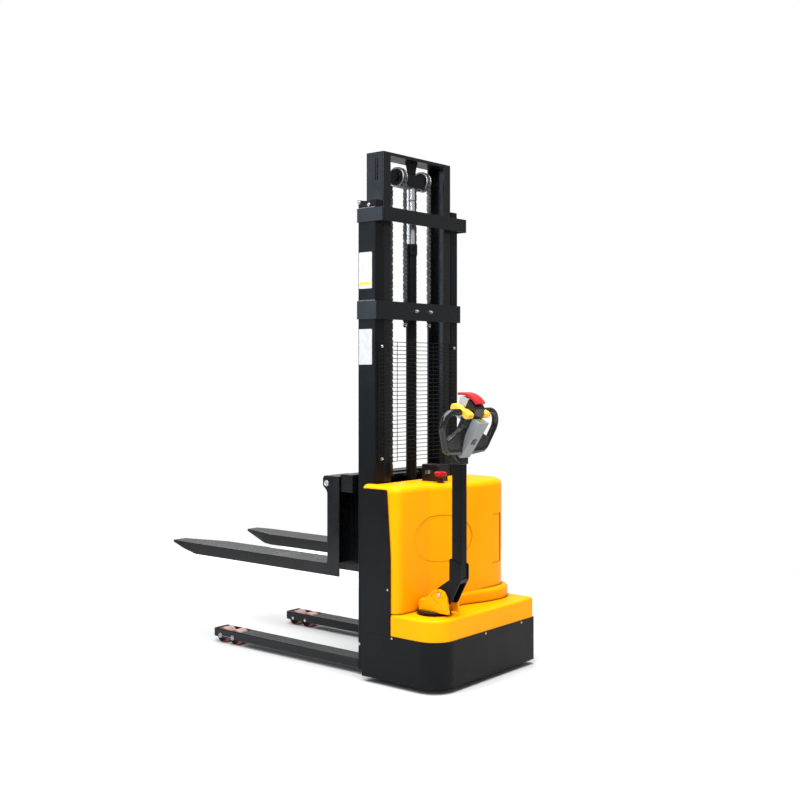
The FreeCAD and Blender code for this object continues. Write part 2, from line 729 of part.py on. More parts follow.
def tiller_hood():
    """Turret hood with two flat cheeks, a slot for the tiller bracket and sunk shields."""
    drum = rod("z", "ring_top", ("steer_x", "steer_y"), "hood_radius", "46")
    drum = soften(drum, 9, at_height(number("ring_top + 46")))
    flanks = doc.addObject("Part::Common", "Flanks")
    flanks.Base = drum
    flanks.Tool = block((steer("-cheek", "x"), steer("cheek", "x")), ("-800", "-600"),
                        ("ring_top - 1", "ring_top + 60"))
    cheeks = outline("YZ", steer("-cheek", "x"), "2 * cheek", [
        ("pivot_y - 52", "ring_top"), ("pivot_y - 42", "pivot_z - 8"),
        ("pivot_y - 27", "pivot_z + 17"), ("pivot_y", "pivot_z + 25"),
        ("pivot_y + 31", "pivot_z + 15"), ("pivot_y + 84", "ring_top + 44"),
        ("pivot_y + 84", "ring_top")],
        [((1, 2, 3, 4), "18")])
    slot = outline("YZ", steer("-30.5", "x"), "61", [
        ("pivot_y + 32", "pivot_z + 60"), ("pivot_y + 32", "pivot_z"),
        ("pivot_y - 2", "ring_top - 1"), ("pivot_y - 60", "ring_top - 1"),
        ("pivot_y - 60", "pivot_z + 60")])
    swing = rod("x", steer("-30.5", "x"), ("pivot_y", "pivot_z"), "66", "61")
    bore = rod("x", steer("-70", "x"), ("pivot_y", "pivot_z"), "9", "140")
    shields = [outline("YZ", start, "2", [
        ("pivot_y + 48", "pivot_z - 7"), ("pivot_y + 3", "pivot_z - 36"),
        ("pivot_y - 30", "pivot_z - 8"), ("pivot_y - 20", "pivot_z + 11"),
        ("pivot_y", "pivot_z + 17"), ("pivot_y + 24", "pivot_z + 10")],
        [((0, 1, 2, 3, 4, 5), "5")]) for start in (steer("-cheek", "x"),
                                                   steer("cheek - 2", "x"))]
    return less(joined([flanks, cheeks]), [slot, swing, bore] + shields)


def tiller_pin():
    """Hinge pin of the tiller; its ends stand proud of the sunk shields."""
    return rod("x", steer("-cheek - 3", "x"), ("pivot_y", "pivot_z"), "8.8", "2 * cheek + 6")


def caster_spot(text, axis):
    return "caster_%s + (%s)" % (axis, text)


def caster_fork():
    """Swivelling fork of the side caster."""
    bearing = rod("z", "182", ("caster_x", "caster_y"), "46", "base_top - sheet - 182.5")
    parts = [bearing]
    for side in (-1, 1):
        low = "caster_x + %d * 31 - 3" % side
        parts.append(outline("YZ", low, "6", [
            (caster_spot("-caster_trail - 20", "y"), "caster_radius - 18"),
            (caster_spot("-caster_trail + 20", "y"), "caster_radius - 18"),
            (caster_spot("34", "y"), "184"), (caster_spot("-36", "y"), "184")],
            [((0, 1), "12")]))
    parts.append(rod("x", caster_spot("-34", "x"), (caster_spot("-caster_trail", "y"),
                                                    "caster_radius"), "7", "68"))
    return joined(parts)


def caster_wheel():
    centre = (caster_spot("-caster_trail", "y"), "caster_radius")
    wheel = soften(rod("x", caster_spot("-25", "x"), centre, "caster_radius", "50"), 5,
                   lambda edge: True)
    return less(wheel, [rod("x", caster_spot("-26", "x"), centre, "7.4", "52")])


# ---------------------------------------------------------------- tiller

def tiller_bracket():
    """Cranked bracket of two cheeks and a web, from the hinge to the tube."""
    corners = [("pivot_y - 50", "pivot_z - 36"), ("pivot_y + 12", "pivot_z - 28"),
               ("pivot_y + 28", "pivot_z"), ("pivot_y + 14", "pivot_z + 28"),
               ("tube_front + 8", "470"), ("tube_front + 8", "566"),
               ("tube_rear - 5", "538"), ("tube_rear - 5", "476")]
    solid = outline("YZ", steer("-tube_half - 6", "x"), "2 * tube_half + 12", corners,
                    [((0, 1, 2, 3), "12"), ((5, 6, 7), "8")])
    room = block((steer("-tube_half", "x"), steer("tube_half", "x")),
                 ("tube_rear - 20", "tube_front + 20"), ("tube_foot", "600"))
    gap = block((steer("-tube_half", "x"), steer("tube_half", "x")),
                ("pivot_y - 100", "pivot_y - 34"), ("pivot_z - 60", "tube_foot - 6"))
    bore = rod("x", steer("-60", "x"), ("pivot_y", "pivot_z"), "9.1", "120")
    return less(solid, [room, gap, bore])


def tiller_tube():
    tube = outline("XY", "tube_foot", "tube_top - tube_foot", [
        (steer("-tube_half", "x"), "tube_rear"), (steer("tube_half", "x"), "tube_rear"),
        (steer("tube_half", "x"), "tube_front"), (steer("-tube_half", "x"), "tube_front")],
        [((0, 1, 2, 3), "5")])
    hollow = block((steer("-tube_half + 4", "x"), steer("tube_half - 4", "x")),
                   ("tube_rear + 4", "tube_front - 4"), ("tube_foot - 1", "tube_top - 4"))
    return less(tube, [hollow])


def in_head(thing):
    """Put a thing drawn upright at the origin into the tilted tiller head."""
    if not thing.isDerivedFrom("PartDesign::Body"):
        thing = group([thing])
    return place(thing, "steer_x", "head_y", "head_z", (1, 0, 0), "head_tilt")


def rounded_path(corners):
    """A wire of straight runs joined by tangent arcs; corners hold (x, z, radius)."""
    points = [Vector(x, 0, z) for x, z, _radius in corners]
    edges = []
    start = points[0]
    for index in range(1, len(points) - 1):
        back = (points[index - 1] - points[index]).normalize()
        ahead = (points[index + 1] - points[index]).normalize()
        half = math.acos(back.dot(ahead)) / 2
        reach = corners[index][2] / math.tan(half)
        first = points[index] + back * reach
        last = points[index] + ahead * reach
        middle_ray = (back + ahead).normalize()
        centre = points[index] + middle_ray * (corners[index][2] / math.sin(half))
        middle = centre - middle_ray * corners[index][2]
        edges.append(Part.LineSegment(start, first).toShape())
        edges.append(Part.Arc(first, middle, last).toShape())
        start = last
    edges.append(Part.LineSegment(start, points[-1]).toShape())
    return Part.Wire(edges)


def in_loop(thing):
    """Put a thing drawn upright at the origin into the plane of the hand loops."""
    return place(thing, "steer_x", "loop_y", "loop_z", (1, 0, 0), "loop_tilt")


def hand_loop(side):
    """One D shaped hand loop of the tiller head, swept round its path."""
    path = rounded_path([(side * 26, -66, 0), (side * 136, -64, 36), (side * 222, 104, 56),
                         (side * 82, 104, 0)])
    circle = Part.Circle(Vector(side * 26, 0, -66), Vector(side, 0, 0), number("grip_radius"))
    thing = doc.addObject("Part::Feature", "Loop")
    thing.Shape = path.makePipeShell([Part.Wire([circle.toShape()])], True, False)
    return in_loop(thing)


def head_rod(x, y, z, radius, length):
    """A rod along X in the tilted tiller head, from a point of the head."""
    thing = doc.addObject("Part::Cylinder", "HeadRod")
    bind(thing, Radius=radius, Height=length)
    turn = FreeCAD.Rotation(Vector(1, 0, 0), number("head_tilt"))
    thing.Placement = FreeCAD.Placement(
        Vector(), turn.multiply(FreeCAD.Rotation(Vector(0, 1, 0), 90)))
    lean = "head_tilt * 1 deg"
    bind(thing, Placement__Base__x="steer_x + (%s)" % x,
         Placement__Base__y="head_y + (%s) * cos(%s) - (%s) * sin(%s)" % (y, lean, z, lean),
         Placement__Base__z="head_z + (%s) * sin(%s) + (%s) * cos(%s)" % (y, lean, z, lean))
    return thing


SHAFT = ("31.1", "196.2")
CAP_CENTRE = (51, 154)
CONSOLE_SIDE = [("-30", "4"), ("-8", "12"), ("-8", "184"), ("-49.6", "184")]


def head_shell():
    """Black body of the tiller head: hub, webs, hand loops and the bar between them."""
    hub = in_head(outline("YZ", "-33", "66", [
        ("-30", "-14"), ("22", "-2"), ("46", "60"), ("48", "150"), ("48", "178"),
        ("-8", "178"), ("-8", "10")], [((1,), "8")]))
    neck = block(("steer_x - tube_half - 5", "steer_x + tube_half + 5"),
                 ("tube_rear - 4", "tube_front + 4"), ("962", "1016"))
    parts = [hub, neck]
    for side in (-1, 1):
        parts.append(hand_loop(side))
        parts.append(in_loop(outline("XZ", "-12", "24", [
            (str(side * 20), "-84"), (str(side * 132), "-74"), (str(side * 160), "-22"),
            (str(side * 20), "48")])))
    bar = head_rod("-88", SHAFT[0], SHAFT[1], "9", "176")
    tube_room = block(("steer_x - tube_half", "steer_x + tube_half"),
                      ("tube_rear", "tube_front"), ("950", "tube_top"))
    console_room = in_head(outline("YZ", "-34", "68", CONSOLE_SIDE))
    return less(joined(parts + [bar]), [tube_room, console_room])


def head_console():
    """Grey sloping box on the operator's side of the head, with the rocker's pocket."""
    box = in_head(outline("YZ", "-34", "68", CONSOLE_SIDE, [((0, 1, 2, 3), "3")]))
    pocket = in_head(block(("-15", "15"), ("-60", "-27"), ("75", "101")))
    holes = head_rod("-18", "-37", "88", "2.3", "36")
    return less(box, [pocket, holes])


def battery_display():
    return in_head(outline("XY", "184", "2", [
        ("-16", "-42"), ("16", "-42"), ("16", "-18"), ("-16", "-18")], [((0, 1, 2, 3), "3")]))


def head_cap():
    """Black rear half of the head's top, which holds the throttle's sleeve."""
    solid = in_head(outline("YZ", "-33", "66", [
        ("-8", "178"), ("48", "178")] + arc_points(CAP_CENTRE, 92, 92, 127, 5)))
    sleeve_bore = head_rod("-40", SHAFT[0], SHAFT[1], "12.4", "80")
    stem_bore = in_head(rod("z", "222", ("0", "34"), "5.4", "40"))
    return less(solid, [sleeve_bore, stem_bore])


def head_housing():
    """Silver front half of the head's top."""
    return in_head(outline("YZ", "-33", "66", [
        ("48", "150"), ("86", "150"), ("90", "222")]
        + arc_points(CAP_CENTRE, 92, 62, 91, 4)[:-1] + [("48", "245.95")], [((1,), "10")]))


def throttle():
    """Butterfly throttle: two wings on one sleeve through the head."""
    parts = []
    for _name, side in SIDES:
        low = span_x("38", "80", side)[0]
        parts.append(in_head(outline("YZ", low, "42", [
            ("-12", "180"), ("20", "184"), ("54", "184"), ("86", "178"), ("88", "210"),
            ("54", "213"), ("20", "213"), ("-14", "208")],
            [((0, 3, 4, 7), "12")])))
    sleeve = head_rod("-44", SHAFT[0], SHAFT[1], "12", "88")
    bore = head_rod("-90", SHAFT[0], SHAFT[1], "9.1", "180")
    return less(joined(parts + [sleeve]), [bore])


def belly_button():
    """Curved safety button over the end of the head, on a sliding stem."""
    arc = outline("YZ", "-30", "60", arc_points(CAP_CENTRE, 109, 54, 116, 9)
                  + arc_points(CAP_CENTRE, 98, 116, 54, 9))
    stem = rod("z", "232", ("0", "34"), "5", "22")
    return in_head(joined([arc, stem]))


def lift_rocker():
    """Rocker for lift and lower, in the console's face."""
    pad = in_head(outline("YZ", "-14.4", "28.8", [
        ("-41.2", "76"), ("-39.2", "88"), ("-43.9", "100"), ("-36", "100"), ("-33", "88"),
        ("-34.5", "76")]))
    pivot = head_rod("-16.5", "-37", "88", "2", "33")
    return joined([pad, pivot])


# ---------------------------------------------------------------- controls on the cover

def switch_box():
    box = block(("-56", "14"), ("-598", "-500"), ("cover_top", "cover_top + 76"))
    return soften(box, 4, lambda edge: edge.BoundBox.ZMax > number("cover_top") + 1)


def ignition_key():
    """Key in a lock on the left face of the switch box."""
    barrel = rod("x", "-62", ("-545", "cover_top + 42"), "9", "5.5")
    bow = block(("-84", "-61"), ("-547", "-543"), ("cover_top + 34", "cover_top + 50"))
    return joined([barrel, bow])


def estop_base():
    collar = rod("z", "cover_top", ("-73", "-621"), "15", "20")
    bore = rod("z", "cover_top + 2", ("-73", "-621"), "8.4", "30")
    return less(collar, [bore])


def estop_cap():
    """Red mushroom head with its stem."""
    stem = rod("z", "cover_top + 9", ("-73", "-621"), "8", "22")
    head = soften(rod("z", "cover_top + 27", ("-73", "-621"), "27", "24"), 7,
                  at_height(number("cover_top + 51")))
    return joined([stem, head])


# ---------------------------------------------------------------- the assembly

def build():
    node(chassis_base(), "chassis_base")
    node(upper_cover(), "upper_cover")
    node(lower_cover(), "lower_cover")
    node(mounting_screws(), "mounting_screws")
    for name, side in SIDES:
        node(side_plate(side), "side_plate_" + name)
        node(leg(side), "leg_" + name)
        node(outer_mast(side), "outer_mast_" + name)
        node(inner_mast(side), "inner_mast_" + name)
        node(fork(side), "fork_" + name)
        node(chain_wheel(side), "chain_wheel_" + name)
        for line in ("front", "back"):
            node(load_roller(side, "roller_" + line), "load_roller_%s_%s" % (name, line))
    node(load_axles(), "load_axles")
    node(mast_top_crossbar(), "mast_top_crossbar")
    node(mast_mid_crossbar(), "mast_mid_crossbar")
    node(mast_foot(), "mast_foot")
    node(mast_guard(), "mast_guard")
    node(inner_mast_crown(), "inner_mast_crown")
    node(inner_mast_tie(), "inner_mast_tie")
    node(guide_rollers("inner_face", "39", ("inner_foot + 42",)), "mast_rollers")
    node(guide_rollers("side_plate_out", "43", ("600", "830")), "carriage_rollers")
    node(lift_cylinder(), "lift_cylinder")
    node(piston_rod(), "piston_rod")
    node(crosshead(), "crosshead")
    node(chain_runs("wheel_line - pitch_radius", "1676"), "chain_rear_runs")
    node(chain_runs("wheel_line + pitch_radius", "bar_top - 6"), "chain_front_runs")
    node(chain_wraps(), "chain_wraps")
    node(carriage_frame(), "carriage_frame")
    node(battery(), "battery")
    node(hydraulic_unit(), "hydraulic_unit")
    node(drive_gearbox(), "drive_gearbox")
    node(drive_motor(), "drive_motor")
    node(drive_wheel(), "drive_wheel")
    node(steer_ring(), "steer_ring")
    node(tiller_hood(), "tiller_hood")
    node(tiller_pin(), "tiller_pin")
    node(caster_fork(), "caster_fork")
    node(caster_wheel(), "caster_wheel")
    node(tiller_bracket(), "tiller_bracket")
    node(tiller_tube(), "tiller_tube")
    node(head_shell(), "head_shell")
    node(head_console(), "head_console")
    node(battery_display(), "battery_display")
    node(head_cap(), "head_cap")
    node(head_housing(), "head_housing")
    node(lift_rocker(), "lift_rocker")
    node(throttle(), "throttle")
    node(belly_button(), "belly_button")
    node(switch_box(), "switch_box")
    node(ignition_key(), "ignition_key")
    node(estop_base(), "estop_base")
    node(estop_cap(), "estop_cap")


build()
doc.recompute()

for item in doc.Objects:
    if "Invalid" in item.State or "Error" in item.State:
        raise RuntimeError("%s (%s) did not build: %s" % (item.Name, item.Label, item.State))
for item in NODES:
    if item.Shape.isNull() or not item.Shape.isValid() or not item.Shape.Solids:
        raise RuntimeError("%s has no valid shape" % item.Label)

os.makedirs("parts", exist_ok=True)
for item in NODES:
    item.Shape.exportStep("parts/%s.step" % item.Label)
print("%d nodes written" % len(NODES))
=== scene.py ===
import json
import math

import bmesh
import bpy
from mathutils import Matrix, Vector


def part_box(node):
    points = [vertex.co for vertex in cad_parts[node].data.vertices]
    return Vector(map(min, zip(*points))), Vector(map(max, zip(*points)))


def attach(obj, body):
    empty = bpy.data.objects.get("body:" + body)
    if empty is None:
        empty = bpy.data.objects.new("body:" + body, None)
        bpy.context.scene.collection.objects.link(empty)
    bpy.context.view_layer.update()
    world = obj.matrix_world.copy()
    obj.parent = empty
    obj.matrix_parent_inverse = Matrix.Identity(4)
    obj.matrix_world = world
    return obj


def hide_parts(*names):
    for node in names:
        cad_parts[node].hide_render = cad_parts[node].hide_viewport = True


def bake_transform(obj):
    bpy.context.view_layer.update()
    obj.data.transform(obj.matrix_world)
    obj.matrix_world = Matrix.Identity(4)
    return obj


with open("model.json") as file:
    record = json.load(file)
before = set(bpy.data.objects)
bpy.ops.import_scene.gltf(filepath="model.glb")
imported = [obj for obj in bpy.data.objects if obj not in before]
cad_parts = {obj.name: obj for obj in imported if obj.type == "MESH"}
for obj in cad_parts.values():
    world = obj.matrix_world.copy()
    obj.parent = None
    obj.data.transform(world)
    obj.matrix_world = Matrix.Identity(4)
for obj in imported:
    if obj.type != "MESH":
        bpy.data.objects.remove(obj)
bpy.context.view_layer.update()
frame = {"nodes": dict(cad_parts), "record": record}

NODES = frame["nodes"]
RECORD = frame["record"]
SLOT_OF = {row["node"]: row["material_slot"] for row in RECORD["subparts"]}
BODY_OF = {name: body for body, names in RECORD["behaviour"]["bodies"].items() for name in names}

MM = 0.001


def middle(node):
    """Middle of a CAD node's box."""
    low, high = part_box(node)
    return (low + high) / 2


def span(node):
    """Size of a CAD node's box."""
    low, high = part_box(node)
    return high - low


MAST_X = (middle("outer_mast_left").x + middle("outer_mast_right").x) / 2

# ------------------------------------------------------------------ materials


class Nodes:
    """Short ways to add and join a material's nodes."""

    def __init__(self, name):
        self.material = bpy.data.materials.new(name)
        self.material.use_nodes = True
        self.tree = self.material.node_tree
        self.tree.nodes.clear()
        self.output = self.add("ShaderNodeOutputMaterial")
        self.shader = self.add("ShaderNodeBsdfPrincipled")
        self.join(self.shader, "BSDF", self.output, "Surface")
        self.coordinates = self.add("ShaderNodeTexCoord")

    def add(self, kind, **values):
        made = self.tree.nodes.new(kind)
        for key, value in values.items():
            if hasattr(made, key):
                setattr(made, key, value)
            else:
                made.inputs[key].default_value = value
        return made

    def join(self, source, out, target, into):
        self.tree.links.new(source.outputs[out], target.inputs[into])

    def noise(self, scale, detail=4.0, roughness=0.55, stretch=None):
        made = self.add("ShaderNodeTexNoise")
        made.inputs["Scale"].default_value = scale
        made.inputs["Detail"].default_value = detail
        made.inputs["Roughness"].default_value = roughness
        if stretch:
            mapping = self.add("ShaderNodeMapping")
            mapping.inputs["Scale"].default_value = stretch
            self.join(self.coordinates, "Object", mapping, "Vector")
            self.join(mapping, "Vector", made, "Vector")
        else:
            self.join(self.coordinates, "Object", made, "Vector")
        return made

    def ramp(self, source, out, low, high, first, last):
        """Maps a value from low..high to first..last, colours or greys."""
        made = self.add("ShaderNodeValToRGB")
        made.color_ramp.elements[0].position = low
        made.color_ramp.elements[1].position = high
        made.color_ramp.elements[0].color = tuple(first) + (1,) * (4 - len(first))
        made.color_ramp.elements[1].color = tuple(last) + (1,) * (4 - len(last))
        self.join(source, out, made, "Fac")
        return made

    def mixed(self, factor, factor_out, first, second):
        """Mixes two colours, each a node or a plain colour, by a node's value."""
        made = self.add("ShaderNodeMix", data_type="RGBA")
        self.join(factor, factor_out, made, 0)
        for index, value in ((6, first), (7, second)):
            if isinstance(value, tuple):
                made.inputs[index].default_value = value + (1,)
            else:
                self.tree.links.new(value.outputs[0 if "Color" in value.outputs else 2],
                                    made.inputs[index])
        return made

    def bump(self, source, out, strength, distance):
        made = self.add("ShaderNodeBump")
        made.inputs["Strength"].default_value = strength
        made.inputs["Distance"].default_value = distance
        self.join(source, out, made, "Height")
        self.join(made, "Normal", self.shader, "Normal")

    def edge_mask(self, radius, noise_scale):
        """A mask that is near 1 along sharp edges, broken up by noise."""
        bevel = self.add("ShaderNodeBevel", samples=4)
        bevel.inputs["Radius"].default_value = radius
        geometry = self.add("ShaderNodeNewGeometry")
        dot = self.add("ShaderNodeVectorMath", operation="DOT_PRODUCT")
        self.join(bevel, "Normal", dot, 0)
        self.join(geometry, "Normal", dot, 1)
        flip = self.add("ShaderNodeMath", operation="SUBTRACT")
        flip.inputs[0].default_value = 1.0
        self.tree.links.new(dot.outputs["Value"], flip.inputs[1])
        breaks = self.noise(noise_scale, 5.0, 0.7)
        raised = self.add("ShaderNodeMath", operation="MULTIPLY")
        self.join(flip, "Value", raised, 0)
        self.tree.links.new(breaks.outputs[0], raised.inputs[1])
        return self.ramp(raised, "Value", 0.03, 0.14, (0, 0, 0), (1, 1, 1))


def painted(name, colour, lighter, rough=0.42, wear=(0.2, 0.2, 0.21), specular=0.5,
            grain=420.0, dust_amount=0.35):
    """Sprayed paint: fine orange peel, slow tone changes, dust and worn edges."""
    n = Nodes(name)
    tone = n.noise(3.5, 5.0)
    base = n.ramp(tone, 0, 0.35, 0.7, colour, lighter)
    specks = n.noise(160.0, 3.0)
    dust = n.ramp(specks, 0, 0.62, 0.78, (0, 0, 0), (dust_amount,) * 3)
    dusty = n.mixed(dust, "Color", base, tuple(min(1, c * 1.7 + 0.006) for c in lighter))
    edges = n.edge_mask(0.0016, 70.0)
    final = n.mixed(edges, "Color", dusty, wear)
    n.tree.links.new(final.outputs[2], n.shader.inputs["Base Color"])
    smears = n.noise(9.0, 6.0, 0.6)
    gloss = n.ramp(smears, 0, 0.3, 0.75, (rough - 0.09,) * 3, (rough + 0.12,) * 3)
    n.join(gloss, "Color", n.shader, "Roughness")
    n.bump(n.noise(grain, 3.0), 0, 0.06, 0.0003)
    n.shader.inputs["Specular IOR Level"].default_value = specular
    return n.material


def moulded_plastic(name, colour, deeper, rough=0.28, coat=0.0, grain=900.0, bump=0.05,
                    specular=0.5, painted_shade_reach=0.0):
    """Moulded plastic: slow colour drift, fine grain and faint scuffs, and when asked painted
    shade that darkens its creases, recesses and seams.
    """
    n = Nodes(name)
    tone = n.noise(2.2, 3.0)
    base = n.ramp(tone, 0, 0.32, 0.72, colour, deeper)
    scuffs = n.noise(38.0, 8.0, 0.75, (1.0, 1.0, 0.25))
    scuffed = n.ramp(scuffs, 0, 0.63, 0.8, (0, 0, 0), (0.28, 0.28, 0.28))
    final = n.mixed(scuffed, "Color", base, tuple(min(1, c * 1.15 + 0.002) for c in colour))
    # Painted shade: the colour darkens wherever ambient occlusion finds surfaces close by, in
    # creases, recesses and seams.
    if painted_shade_reach:
        shade = n.add("ShaderNodeAmbientOcclusion", samples=8)
        shade.inputs["Distance"].default_value = painted_shade_reach
        painted_crease_shade = n.ramp(shade, "AO", 0.5, 0.93, (1, 1, 1), (0, 0, 0))
        final = n.mixed(painted_crease_shade, "Color", final, tuple(c * 0.3 for c in deeper))
    n.tree.links.new(final.outputs[2], n.shader.inputs["Base Color"])
    gloss = n.ramp(scuffs, 0, 0.4, 0.8, (rough,) * 3, (rough + 0.16,) * 3)
    n.join(gloss, "Color", n.shader, "Roughness")
    n.bump(n.noise(grain, 2.0), 0, bump, 0.0003)
    n.shader.inputs["Coat Weight"].default_value = coat
    n.shader.inputs["Coat Roughness"].default_value = 0.12
    n.shader.inputs["Specular IOR Level"].default_value = specular
    return n.material


def metal(name, colour, dark, rough=0.3, stretch=(1.0, 1.0, 18.0), scale=60.0, oil=0.25):
    """Bare metal with drawn or turned marks and a little grime."""
    n = Nodes(name)
    marks = n.noise(scale, 6.0, 0.65, stretch)
    base = n.ramp(marks, 0, 0.25, 0.8, dark, colour)
    grime = n.noise(25.0, 5.0)
    mask = n.ramp(grime, 0, 0.52, 0.72, (0, 0, 0), (oil,) * 3)
    final = n.mixed(mask, "Color", base, tuple(c * 0.35 for c in dark))
    n.tree.links.new(final.outputs[2], n.shader.inputs["Base Color"])
    gloss = n.ramp(grime, 0, 0.3, 0.75, (rough,) * 3, (rough + 0.2,) * 3)
    n.join(gloss, "Color", n.shader, "Roughness")
    n.shader.inputs["Metallic"].default_value = 1.0
    n.bump(marks, 0, 0.06, 0.0002)
    return n.material


def rubbery(name, colour, second, rough):
    """Rubber or polyurethane: mottled, dusty in its low spots."""
    n = Nodes(name)
    tone = n.noise(14.0, 6.0)
    base = n.ramp(tone, 0, 0.3, 0.7, colour, second)
    dirt = n.noise(70.0, 6.0, 0.7)
    mask = n.ramp(dirt, 0, 0.55, 0.75, (0, 0, 0), (0.45,) * 3)
    final = n.mixed(mask, "Color", base, tuple(c * 0.5 + 0.05 for c in colour))
    n.tree.links.new(final.outputs[2], n.shader.inputs["Base Color"])
    gloss = n.ramp(dirt, 0, 0.3, 0.8, (rough - 0.12,) * 3, (rough + 0.2,) * 3)
    n.join(gloss, "Color", n.shader, "Roughness")
    n.bump(n.noise(260.0, 3.0), 0, 0.25, 0.0006)
    return n.material


def display_glass(name):
    """Small window over a row of gauge segments."""
    n = Nodes(name)
    wave = n.add("ShaderNodeTexWave", wave_type="BANDS", bands_direction="X")
    wave.inputs["Scale"].default_value = 62.0
    n.join(n.coordinates, "Object", wave, "Vector")
    base = n.ramp(wave, "Color", 0.35, 0.6, (0.02, 0.03, 0.02), (0.32, 0.36, 0.06))
    n.join(base, "Color", n.shader, "Base Color")
    n.shader.inputs["Roughness"].default_value = 0.12
    n.shader.inputs["Coat Weight"].default_value = 1.0
    n.bump(n.noise(300.0), 0, 0.02, 0.0002)
    return n.material


def label_paper(name, colour):
    """Blank printed label: slightly glossy film with faint handling marks."""
    n = Nodes(name)
    marks = n.noise(45.0, 6.0)
    base = n.ramp(marks, 0, 0.45, 0.75, colour, tuple(c * 0.86 for c in colour))
    n.join(base, "Color", n.shader, "Base Color")
    gloss = n.ramp(marks, 0, 0.3, 0.8, (0.3,) * 3, (0.5,) * 3)
    n.join(gloss, "Color", n.shader, "Roughness")
    n.bump(n.noise(220.0), 0, 0.05, 0.0002)
    return n.material


MATERIALS = {
    "black_steel": painted("black_paint", (0.004, 0.0044, 0.0052), (0.0058, 0.0063, 0.0074),
                           rough=0.34, wear=(0.012, 0.0125, 0.014), specular=0.11,
                           dust_amount=0.1),
    # The yellow covers get painted shade in their creases, recesses and seams.
    "yellow_cover": moulded_plastic("yellow_cover", (0.97, 0.385, 0.0012), (0.94, 0.35, 0.0009),
                                    rough=0.3, specular=0.05, painted_shade_reach=0.014),
    "screw_steel": metal("screw_steel", (0.75, 0.75, 0.76), (0.42, 0.42, 0.43), rough=0.28),
    "rod_chrome": metal("rod_chrome", (0.84, 0.85, 0.88), (0.74, 0.75, 0.78), rough=0.12,
                        stretch=(1, 1, 0.15), scale=12.0, oil=0.05),
    "chain_steel": metal("chain_steel", (0.34, 0.33, 0.32), (0.08, 0.078, 0.075), rough=0.34,
                         stretch=(1, 1, 1), scale=120.0, oil=0.6),
    "roller_steel": metal("roller_steel", (0.45, 0.45, 0.46), (0.2, 0.2, 0.21), rough=0.32,
                          stretch=(8, 1, 1), scale=80.0, oil=0.4),
    "load_roller_pu": rubbery("load_roller_pu", (0.42, 0.25, 0.22), (0.52, 0.36, 0.33),
                              rough=0.5),
    "drive_tyre_pu": rubbery("drive_tyre_pu", (0.3, 0.045, 0.02), (0.38, 0.07, 0.035),
                             rough=0.5),
    "caster_tyre_pu": rubbery("caster_tyre_pu", (0.2, 0.2, 0.2), (0.28, 0.28, 0.28),
                              rough=0.55),
    "battery_case": moulded_plastic("battery_case", (0.02, 0.02, 0.022), (0.03, 0.03, 0.03),
                                    rough=0.5, grain=500.0, bump=0.15),
    "power_pack": painted("power_pack", (0.05, 0.052, 0.055), (0.08, 0.08, 0.085), rough=0.4),
    "drive_grey": painted("drive_grey", (0.07, 0.07, 0.072), (0.11, 0.11, 0.11), rough=0.55,
                          wear=(0.3, 0.3, 0.3), specular=0.0, grain=180.0),
    "black_plastic": moulded_plastic("black_plastic", (0.005, 0.005, 0.006),
                                     (0.0075, 0.0075, 0.0085), rough=0.25, grain=700.0,
                                     bump=0.03, specular=0.34),
    "grip_rubber": moulded_plastic("grip_rubber", (0.004, 0.004, 0.005), (0.006, 0.006, 0.007),
                                   rough=0.2, grain=800.0, bump=0.02, specular=0.42),
    "console_grey": moulded_plastic("console_grey", (0.2, 0.22, 0.235), (0.16, 0.175, 0.185),
                                    rough=0.42, bump=0.2),
    "display_glass": display_glass("display_glass"),
    "silver_plastic": moulded_plastic("silver_plastic", (0.34, 0.375, 0.41),
                                      (0.29, 0.32, 0.355), rough=0.35, coat=0.15, bump=0.12),
    "yellow_plastic": moulded_plastic("yellow_plastic", (0.84, 0.48, 0.05), (0.8, 0.43, 0.04),
                                      rough=0.34, bump=0.08, specular=0.25),
    "red_plastic": moulded_plastic("red_plastic", (0.43, 0.007, 0.012), (0.36, 0.005, 0.008),
                                   rough=0.24, bump=0.04, specular=0.3),
    "key_steel": metal("key_steel", (0.72, 0.71, 0.68), (0.4, 0.39, 0.37), rough=0.25),
}
SATIN_BLACK = painted("satin_black", (0.0042, 0.0047, 0.0058), (0.006, 0.0066, 0.0079),
                      rough=0.24, wear=(0.016, 0.017, 0.02), specular=0.24, dust_amount=0.08)
WELD_STEEL = metal("weld_bead", (0.3, 0.31, 0.33), (0.09, 0.095, 0.1), rough=0.4,
                   stretch=(1, 1, 1), scale=150.0, oil=0.4)
LABEL_WHITE = label_paper("label_white", (0.52, 0.52, 0.53))
LABEL_YELLOW = label_paper("label_yellow", (0.7, 0.56, 0.02))

# ------------------------------------------------------------------ mesh helpers


SHARP_ANGLE = math.radians(32)


def smooth_by_angle(mesh):
    for polygon in mesh.polygons:
        polygon.use_smooth = True
    mesh.set_sharp_from_angle(angle=SHARP_ANGLE)


def new_object(name, mesh, material):
    thing = bpy.data.objects.new(name, mesh)
    bpy.context.scene.collection.objects.link(thing)
    if len(mesh.materials):
        mesh.materials.clear()
    for item in material if isinstance(material, list) else [material]:
        mesh.materials.append(item)
    return thing


def piece(name, bm, body, slot, replaces=(), material=None, weighted=False):
    """Turn a bmesh into a finished piece that rides on a body."""
    mesh = bpy.data.meshes.new(name)
    bm.normal_update()
    bm.to_mesh(mesh)
    bm.free()
    smooth_by_angle(mesh)
    thing = new_object(name, mesh, material or MATERIALS[slot])
    if weighted:
        thing.modifiers.new("weighted", "WEIGHTED_NORMAL").keep_sharp = True
    if body:
        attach(thing, body)
    if replaces:
        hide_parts(*replaces)
    return thing


def cad_copy(node):
    """A bmesh of a CAD node's shape with its flat faces made whole."""
    bm = bmesh.new()
    bm.from_mesh(NODES[node].data)
    bmesh.ops.remove_doubles(bm, verts=bm.verts, dist=2e-6)
    bmesh.ops.dissolve_limit(bm, angle_limit=math.radians(0.6), verts=bm.verts, edges=bm.edges)
    return bm


